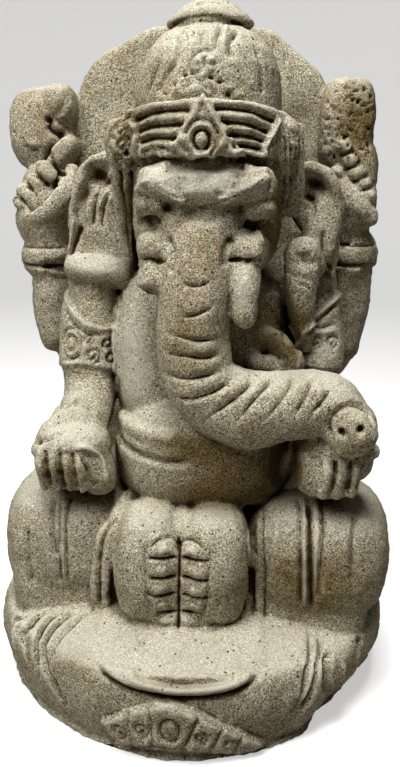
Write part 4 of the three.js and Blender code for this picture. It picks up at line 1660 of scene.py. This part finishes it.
@dataclass(frozen=True)
class LavaStone:
    """Dressed andesite, a porous volcanic stone that has stood outdoors.

    It was cut with a point and a flat chisel and never polished, so it gives the eye an even, dull grey-beige
    with black and pale mineral grains, open pores, brown dirt and painted shade in the hollows and grooves,
    and pale dust and painted light on the ledges and ridges.
    """

    roughness: float = 0.95
    shine: float = 0.2
    grain_mm: float = 1.0
    crystal_mm: float = 2.1
    bump_mm: float = 2.6
    bump_share: float = 2.2
    bump_depth_mm: float = 0.45
    stain_mm: float = 38
    pore_mm: float = 7.0
    grains: tuple[tuple[float, str], ...] = (
        (0.0, "#3b3323"), (0.12, "#675d47"), (0.3, "#8f856d"), (0.5, "#a19881"), (0.7, "#b2aa94"),
        (0.9, "#d3cbb2"), (1.0, "#e9e2cb"),
    )
    crystal_edge: tuple[float, float] = (0.42, 0.2)
    crystal_cover: float = 0.85
    feldspar: Coat = Coat(Tint.FELDSPAR, Blend.COVER, 0.8, 0.86)
    hornblende: Coat = Coat(Tint.HORNBLENDE, Blend.COVER, 0.88, 0.92)
    stain: Coat = Coat(Tint.STAIN, Blend.STAIN, 0.35, 0.95)
    moss_patch: tuple[float, float] = (0.8, 0.25)
    moss: Coat = Coat(Tint.MOSS_AND_PAINTED_SHADE, Blend.STAIN, 0.25, 0.8)
    coats: tuple[tuple[str, Coat], ...] = (
        # Dirt and painted shade in the sheltered hollows.
        ("shelter", Coat(Tint.DIRT_AND_PAINTED_SHADE, Blend.STAIN, 0.4, 0.95)),
        # Dirt and painted shade in the carved grooves.
        ("relief", Coat(Tint.GROOVE, Blend.STAIN, -0.7, -3.4)),
        # The brown places: dirt and painted shade.
        ("wear_and_painted_light", Coat(Tint.MOSS_AND_PAINTED_SHADE, Blend.STAIN, -0.05, -1.0)),
        # The pale places: dust and painted light.
        ("wear_and_painted_light", Coat(Tint.DUST_AND_PAINTED_LIGHT, Blend.COVER, 0.1, 1.2, 0.55)),
        # Dust and painted top light on open upward faces.
        ("ledge", Coat(Tint.DUST_AND_PAINTED_LIGHT, Blend.COVER, 0.3, 1.0, 0.4)),
        # Wear and a painted highlight on raised ridges.
        ("relief", Coat(Tint.DUST_AND_PAINTED_LIGHT, Blend.COVER, 0.9, 3.0, 0.35)),
    )
    pore_chance: tuple[float, float] = (0.62, 0.72)
    pore_edge: tuple[float, float] = (0.26, 0.1)

    def make(self) -> bpy.types.Material:
        """Makes the material.

        Returns:
            The finished material.
        """
        material = bpy.data.materials.new("andesite_lava_stone")
        material.use_nodes = True
        tree = material.node_tree
        shader = tree.nodes["Principled BSDF"]
        shader.inputs["Roughness"].default_value = self.roughness
        shader.inputs["Specular IOR Level"].default_value = self.shine
        place = node(tree, "ShaderNodeTexCoord").outputs["Object"]
        # Real grains are 0.1 to 2 mm wide. The finest are drawn about 1 mm wide, so that they show.
        grain = node(tree, "ShaderNodeTexVoronoi", {"Vector": place, "Scale": 1 / (self.grain_mm * MM)})
        colour = self.mix_minerals(tree, place, grain.outputs["Color"])
        # Weathering, which also paints shade into the hollows and grooves and light onto the open tops and
        # ridges.
        colour = self.weather(tree, place, colour)
        pores = self.open_pores(tree, place)
        dirty = node(
            tree,
            "ShaderNodeMix",
            {0: pores, 6: colour, 7: linear(Tint.GROOVE.value)},
            data_type="RGBA",
            blend_type=Blend.STAIN.value,
        )
        tree.links.new(dirty.outputs[2], shader.inputs["Base Color"])
        self.add_bump(tree, place, grain.outputs["Distance"], pores, shader)
        return material

    def mix_minerals(
        self, tree: bpy.types.NodeTree, place: bpy.types.NodeSocket, cells: bpy.types.NodeSocket
    ) -> bpy.types.NodeSocket:
        """Colours the grains, and sets crystals of feldspar and hornblende among them.

        Args:
            tree: The material's node tree.
            place: Object coordinates.
            cells: A random colour for each grain.

        Returns:
            The colour of the fresh stone.
        """
        kind = node(tree, "ShaderNodeSeparateColor", {"Color": cells})
        shades = node(tree, "ShaderNodeValToRGB", {"Fac": kind.outputs["Red"]})
        bar = shades.color_ramp.elements
        while len(bar) < len(self.grains):
            bar.new(0.5)
        for element, (share, shade) in zip(bar, self.grains):
            element.position = share
            element.color = linear(shade)
        colour = shades.outputs["Color"]
        # Crystals are about 1 mm wide, as they are in the real stone.
        spots = node(tree, "ShaderNodeTexVoronoi", {"Vector": place, "Scale": 1 / (self.crystal_mm * MM)})
        chance = node(tree, "ShaderNodeSeparateColor", {"Color": spots.outputs["Color"]})
        outer, inner = self.crystal_edge
        near = node(
            tree,
            "ShaderNodeMapRange",
            {0: spots.outputs["Distance"], 1: outer, 2: inner, 4: self.crystal_cover},
            interpolation_type="SMOOTHSTEP",
        )
        for channel, crystal in (("Red", self.feldspar), ("Green", self.hornblende)):
            colour = crystal.lay(tree, colour, chance.outputs[channel], near.outputs[0])
        return colour

    def weather(
        self, tree: bpy.types.NodeTree, place: bpy.types.NodeSocket, colour: bpy.types.NodeSocket
    ) -> bpy.types.NodeSocket:
        """Lays stains, moss, dirt and dust over the stone, with painted shade in the hollows and grooves and
        painted light on the open tops and ridges.

        Args:
            tree: The material's node tree.
            place: Object coordinates.
            colour: The colour of the fresh stone.

        Returns:
            The colour of the weathered stone, with its painted shade and painted light.
        """
        cloud = node(
            tree, "ShaderNodeTexNoise", {"Vector": place, "Scale": 1 / (self.stain_mm * MM), "Detail": 5.0}
        ).outputs["Fac"]
        marks = {
            name: node(tree, "ShaderNodeAttribute", attribute_name=name).outputs["Fac"]
            for name in ("shelter", "relief", "ledge", "wear_and_painted_light")
        }
        bare, grown = self.moss_patch
        patch = node(
            tree, "ShaderNodeMapRange", {0: cloud, 1: bare, 2: grown}, interpolation_type="SMOOTHSTEP"
        )
        colour = self.stain.lay(tree, colour, cloud)
        colour = self.moss.lay(tree, colour, marks["shelter"], patch.outputs[0])
        for mark, coat in self.coats:
            colour = coat.lay(tree, colour, marks[mark])
        return colour

    def open_pores(self, tree: bpy.types.NodeTree, place: bpy.types.NodeSocket) -> bpy.types.NodeSocket:
        """Opens pores of 1 to 4 mm, as the real ones are, in about one cell of three.

        Args:
            tree: The material's node tree.
            place: Object coordinates.

        Returns:
            A mask that is 1 in a pore.
        """
        cells = node(tree, "ShaderNodeTexVoronoi", {"Vector": place, "Scale": 1 / (self.pore_mm * MM)})
        chance = node(tree, "ShaderNodeSeparateColor", {"Color": cells.outputs["Color"]})
        never, always = self.pore_chance
        there = node(
            tree,
            "ShaderNodeMapRange",
            {0: chance.outputs["Red"], 1: never, 2: always},
            interpolation_type="SMOOTHSTEP",
        )
        outer, inner = self.pore_edge
        hole = node(
            tree,
            "ShaderNodeMapRange",
            {0: cells.outputs["Distance"], 1: outer, 2: inner, 4: there.outputs[0]},
            interpolation_type="SMOOTHSTEP",
        )
        return hole.outputs[0]

    def add_bump(
        self,
        tree: bpy.types.NodeTree,
        place: bpy.types.NodeSocket,
        grain: bpy.types.NodeSocket,
        pores: bpy.types.NodeSocket,
        shader: bpy.types.Node,
    ) -> None:
        """Adds the bumps of the grains, the tool marks and the pores.

        Args:
            tree: The material's node tree.
            place: Object coordinates.
            grain: The distance from the middle of a grain.
            pores: A mask that is 1 in a pore.
            shader: The shader that takes the bumps.
        """
        # A point chisel leaves marks 2 to 3 mm apart.
        rough = node(
            tree, "ShaderNodeTexNoise", {"Vector": place, "Scale": 1 / (self.bump_mm * MM), "Detail": 4.0}
        )
        height = node(
            tree, "ShaderNodeMath", {0: rough.outputs["Fac"], 1: self.bump_share}, operation="MULTIPLY"
        )
        grained = node(tree, "ShaderNodeMath", {0: grain, 1: height.outputs[0]}, operation="SUBTRACT")
        dug = node(tree, "ShaderNodeMath", {0: grained.outputs[0], 1: pores}, operation="ADD")
        bump = node(
            tree,
            "ShaderNodeBump",
            {"Height": dug.outputs[0], "Strength": 1.0, "Distance": self.bump_depth_mm * MM},
            invert=True,
        )
        tree.links.new(bump.outputs["Normal"], shader.inputs["Normal"])


def linear(colour: str) -> tuple[float, float, float, float]:
    """Turns an sRGB hex colour to a linear one.

    Args:
        colour: Such as "#8b8069".

    Returns:
        Red, green, blue and an alpha of 1.
    """
    parts = [int(colour[place : place + 2], 16) / 255 for place in (1, 3, 5)]
    red, green, blue = [
        part / 12.92 if part <= 0.04045 else ((part + 0.055) / 1.055) ** 2.4 for part in parts
    ]
    return red, green, blue, 1.0


def node(
    tree: bpy.types.NodeTree, kind: str, inputs: dict[Any, Any] | None = None, **settings: Any
) -> bpy.types.Node:
    """Adds a node with its settings and links.

    Args:
        tree: The material's node tree.
        kind: The node's type.
        inputs: Values or output sockets, by the input's name or number.
        **settings: The node's own properties.

    Returns:
        The new node.
    """
    made = tree.nodes.new(kind)
    for name, value in settings.items():
        setattr(made, name, value)
    for name, value in (inputs or {}).items():
        if isinstance(value, bpy.types.NodeSocket):
            tree.links.new(value, made.inputs[name])
        else:
            made.inputs[name].default_value = value
    return made


@dataclass(frozen=True)
class Statue:
    """The whole carving: it is fused from its forms, carved, thinned and given its finish."""

    voxel: float = 2.0
    ease_rounds: int = 3
    swell: float = 2.8
    bump: float = 1.3
    triangles: int = 190_000
    finish: LavaStone = field(default_factory=LavaStone)
    parts: tuple[Part, ...] = (
        Base(), Legs(), Feet(), Torso(), Slab(), RearArms(), LeftEmblem(), RightEmblem(), FrontArms(),
        Hands(), Trunk(), Head(), Ears(), Snake(), Crown(), BrowBand(), WeatherAndPaintedLight(),
    )

    def make(self) -> bpy.types.Object:
        """Makes the carving.

        Returns:
            The finished object.
        """
        stone = Mass()
        for part in self.parts:
            part.build(stone)
        mesh = bpy.data.meshes.new("stone_carving")
        stone.mesh.to_mesh(mesh)
        stone.mesh.free()
        piece = bpy.data.objects.new("stone_carving", mesh)
        bpy.context.scene.collection.objects.link(piece)
        fuse = piece.modifiers.new("fuse", "REMESH")
        fuse.mode = "VOXEL"
        fuse.voxel_size = self.voxel * MM
        ease = piece.modifiers.new("ease", "SMOOTH")
        ease.factor = 0.5
        ease.iterations = self.ease_rounds
        apply_modifiers(piece)
        log.info("fused skin: %d faces", len(piece.data.polygons))
        chisel = Chisel(piece.data)
        for part in self.parts:
            part.carve(chisel)
        chisel.roughen(self.swell, self.bump)
        chisel.finish()
        chisel.mark_relief()
        faces = sum(len(face.vertices) - 2 for face in piece.data.polygons)
        thin = piece.modifiers.new("thin", "DECIMATE")
        thin.ratio = min(1.0, self.triangles / faces)
        thin.use_collapse_triangulate = True
        apply_modifiers(piece)
        keep_largest_shell(piece.data)
        mark_shelter(piece.data)
        piece.data.shade_smooth()
        piece.data.materials.clear()
        piece.data.materials.append(self.finish.make())
        return piece


def apply_modifiers(piece: bpy.types.Object) -> None:
    """Turns a piece's modifiers into its mesh.

    Args:
        piece: The object, whose modifiers are removed.
    """
    graph = bpy.context.evaluated_depsgraph_get()
    made = bpy.data.meshes.new_from_object(piece.evaluated_get(graph))
    old = piece.data
    piece.modifiers.clear()
    piece.data = made
    made.name = piece.name
    bpy.data.meshes.remove(old)


def keep_largest_shell(mesh: bpy.types.Mesh) -> None:
    """Removes every loose shell but the largest, such as the walls of sealed gaps.

    Args:
        mesh: The mesh to clean.
    """
    shape = bmesh.new()
    shape.from_mesh(mesh)
    unseen = set(shape.verts)
    shells = []
    while unseen:
        todo = [unseen.pop()]
        shell = list(todo)
        while todo:
            for rim in todo.pop().link_edges:
                for vert in rim.verts:
                    if vert in unseen:
                        unseen.remove(vert)
                        todo.append(vert)
                        shell.append(vert)
        shells.append(shell)
    shells.sort(key=len)
    for shell in shells[:-1]:
        bmesh.ops.delete(shape, geom=shell, context="VERTS")
    shape.to_mesh(mesh)
    shape.free()


@dataclass(frozen=True)
class Studio:
    """A plain pale floor that curves up all round, soft light from above and the left, and the camera.

    The floor and the lamps are in metres.
    """

    floor_profile: Places = ((0, 0), (4.0, 0), (4.8, 0.15), (5.4, 0.6), (5.7, 1.3), (5.8, 3.5))
    floor_colour: str = "#f2f1ee"
    floor_bounce: str = "#8f8b83"
    floor_glow: float = 0.5
    lamps: tuple[tuple[str, tuple[float, float, float], float], ...] = (
        ("key", (-0.05, -0.85, 2.9), 82),
        ("side", (-1.25, -1.5, 2.2), 44),
    )
    lamp_size: float = 1.0
    surround: float = 0.04
    camera_distance: float = 950
    camera_z: float = 578
    yaw: float = 4
    pitch: float = 13
    roll: float = 1
    picture_height: int = 767
    focal_pixels: float = 780

    def make(self) -> None:
        """Makes the floor, the lights and the camera."""
        self.floor()
        self.lights()
        self.camera()

    def floor(self) -> None:
        """Makes the floor and marks it as the stage."""
        shape = bmesh.new()
        verts = [shape.verts.new((out, 0, up)) for out, up in self.floor_profile]
        edges = [shape.edges.new(pair) for pair in zip(verts, verts[1:])]
        bmesh.ops.spin(
            shape,
            geom=[*verts, *edges],
            axis=(0, 0, 1),
            cent=(0, 0, 0),
            angle=2 * math.pi,
            steps=64,
            use_merge=True,
        )
        bmesh.ops.remove_doubles(shape, verts=shape.verts, dist=1e-5)
        bmesh.ops.recalc_face_normals(shape, faces=shape.faces)
        mesh = bpy.data.meshes.new("floor")
        shape.to_mesh(mesh)
        shape.free()
        mesh.shade_smooth()
        floor = bpy.data.objects.new("floor", mesh)
        bpy.context.scene.collection.objects.link(floor)
        paint = bpy.data.materials.new("matt_floor_paint")
        paint.use_nodes = True
        tree = paint.node_tree
        shader = tree.nodes["Principled BSDF"]
        shader.inputs["Roughness"].default_value = 0.9
        # The floor looks pale but throws little light back, so the undersides stay as dark as in the photo.
        seen = node(tree, "ShaderNodeLightPath").outputs["Is Camera Ray"]
        shade = node(
            tree,
            "ShaderNodeMix",
            {0: seen, 6: linear(self.floor_bounce), 7: linear(self.floor_colour)},
            data_type="RGBA",
        )
        glow = node(tree, "ShaderNodeMath", {0: seen, 1: self.floor_glow}, operation="MULTIPLY")
        shader.inputs["Emission Color"].default_value = (1, 1, 1, 1)
        tree.links.new(shade.outputs[2], shader.inputs["Base Color"])
        tree.links.new(glow.outputs[0], shader.inputs["Emission Strength"])
        mesh.materials.append(paint)

    def lights(self) -> None:
        """Makes the key light above and in front, a weaker one at the left and a faint pale surround."""
        for name, at, power in self.lamps:
            lamp = bpy.data.lights.new(name, "AREA")
            lamp.size = self.lamp_size
            lamp.energy = power
            light = bpy.data.objects.new(name, lamp)
            light.location = at
            light.rotation_euler = (Vector((0, 0, 0.4)) - Vector(at)).to_track_quat("-Z", "Y").to_euler()
            bpy.context.scene.collection.objects.link(light)
        world = bpy.data.worlds.new("pale_surround")
        world.use_nodes = True
        sky = world.node_tree.nodes["Background"]
        sky.inputs["Color"].default_value = (1, 1, 1, 1)
        sky.inputs["Strength"].default_value = self.surround
        bpy.context.scene.world = world
        bpy.context.scene.view_settings.view_transform = "Standard"

    def camera(self) -> None:
        """Makes the camera at the viewing angle, on the figure's own axis."""
        yaw, pitch, roll = (math.radians(angle) for angle in (self.yaw, self.pitch, self.roll))
        ahead = Vector((-math.sin(yaw) * math.cos(pitch), math.cos(yaw) * math.cos(pitch), -math.sin(pitch)))
        right = Vector((math.cos(yaw), math.sin(yaw), 0))
        up = right.cross(ahead)
        right, up = right * math.cos(roll) + up * math.sin(roll), up * math.cos(roll) - right * math.sin(roll)
        out = self.camera_distance
        at = Vector((out * math.sin(yaw), -out * math.cos(yaw), self.camera_z)) * MM
        lens = bpy.data.cameras.new("camera")
        lens.sensor_fit = "AUTO"
        lens.sensor_width = 36
        lens.lens = self.focal_pixels / self.picture_height * lens.sensor_width
        lens.clip_start = 0.02
        camera = bpy.data.objects.new("camera", lens)
        camera.matrix_world = Matrix(
            [[right[row], up[row], -ahead[row], at[row]] for row in range(3)] + [[0, 0, 0, 1]]
        )
        bpy.context.scene.collection.objects.link(camera)
        bpy.context.scene.camera = camera


def main() -> None:
    """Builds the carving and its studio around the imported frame."""
    logging.basicConfig(level=logging.INFO, format="%(message)s")
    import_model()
    Studio().make()
    statue = Statue().make()
    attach(statue, "root")
    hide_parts("carved_figure")
    log.info("%s: %d triangles", statue.name, len(statue.data.polygons))


if __name__ == "__main__":
    main()
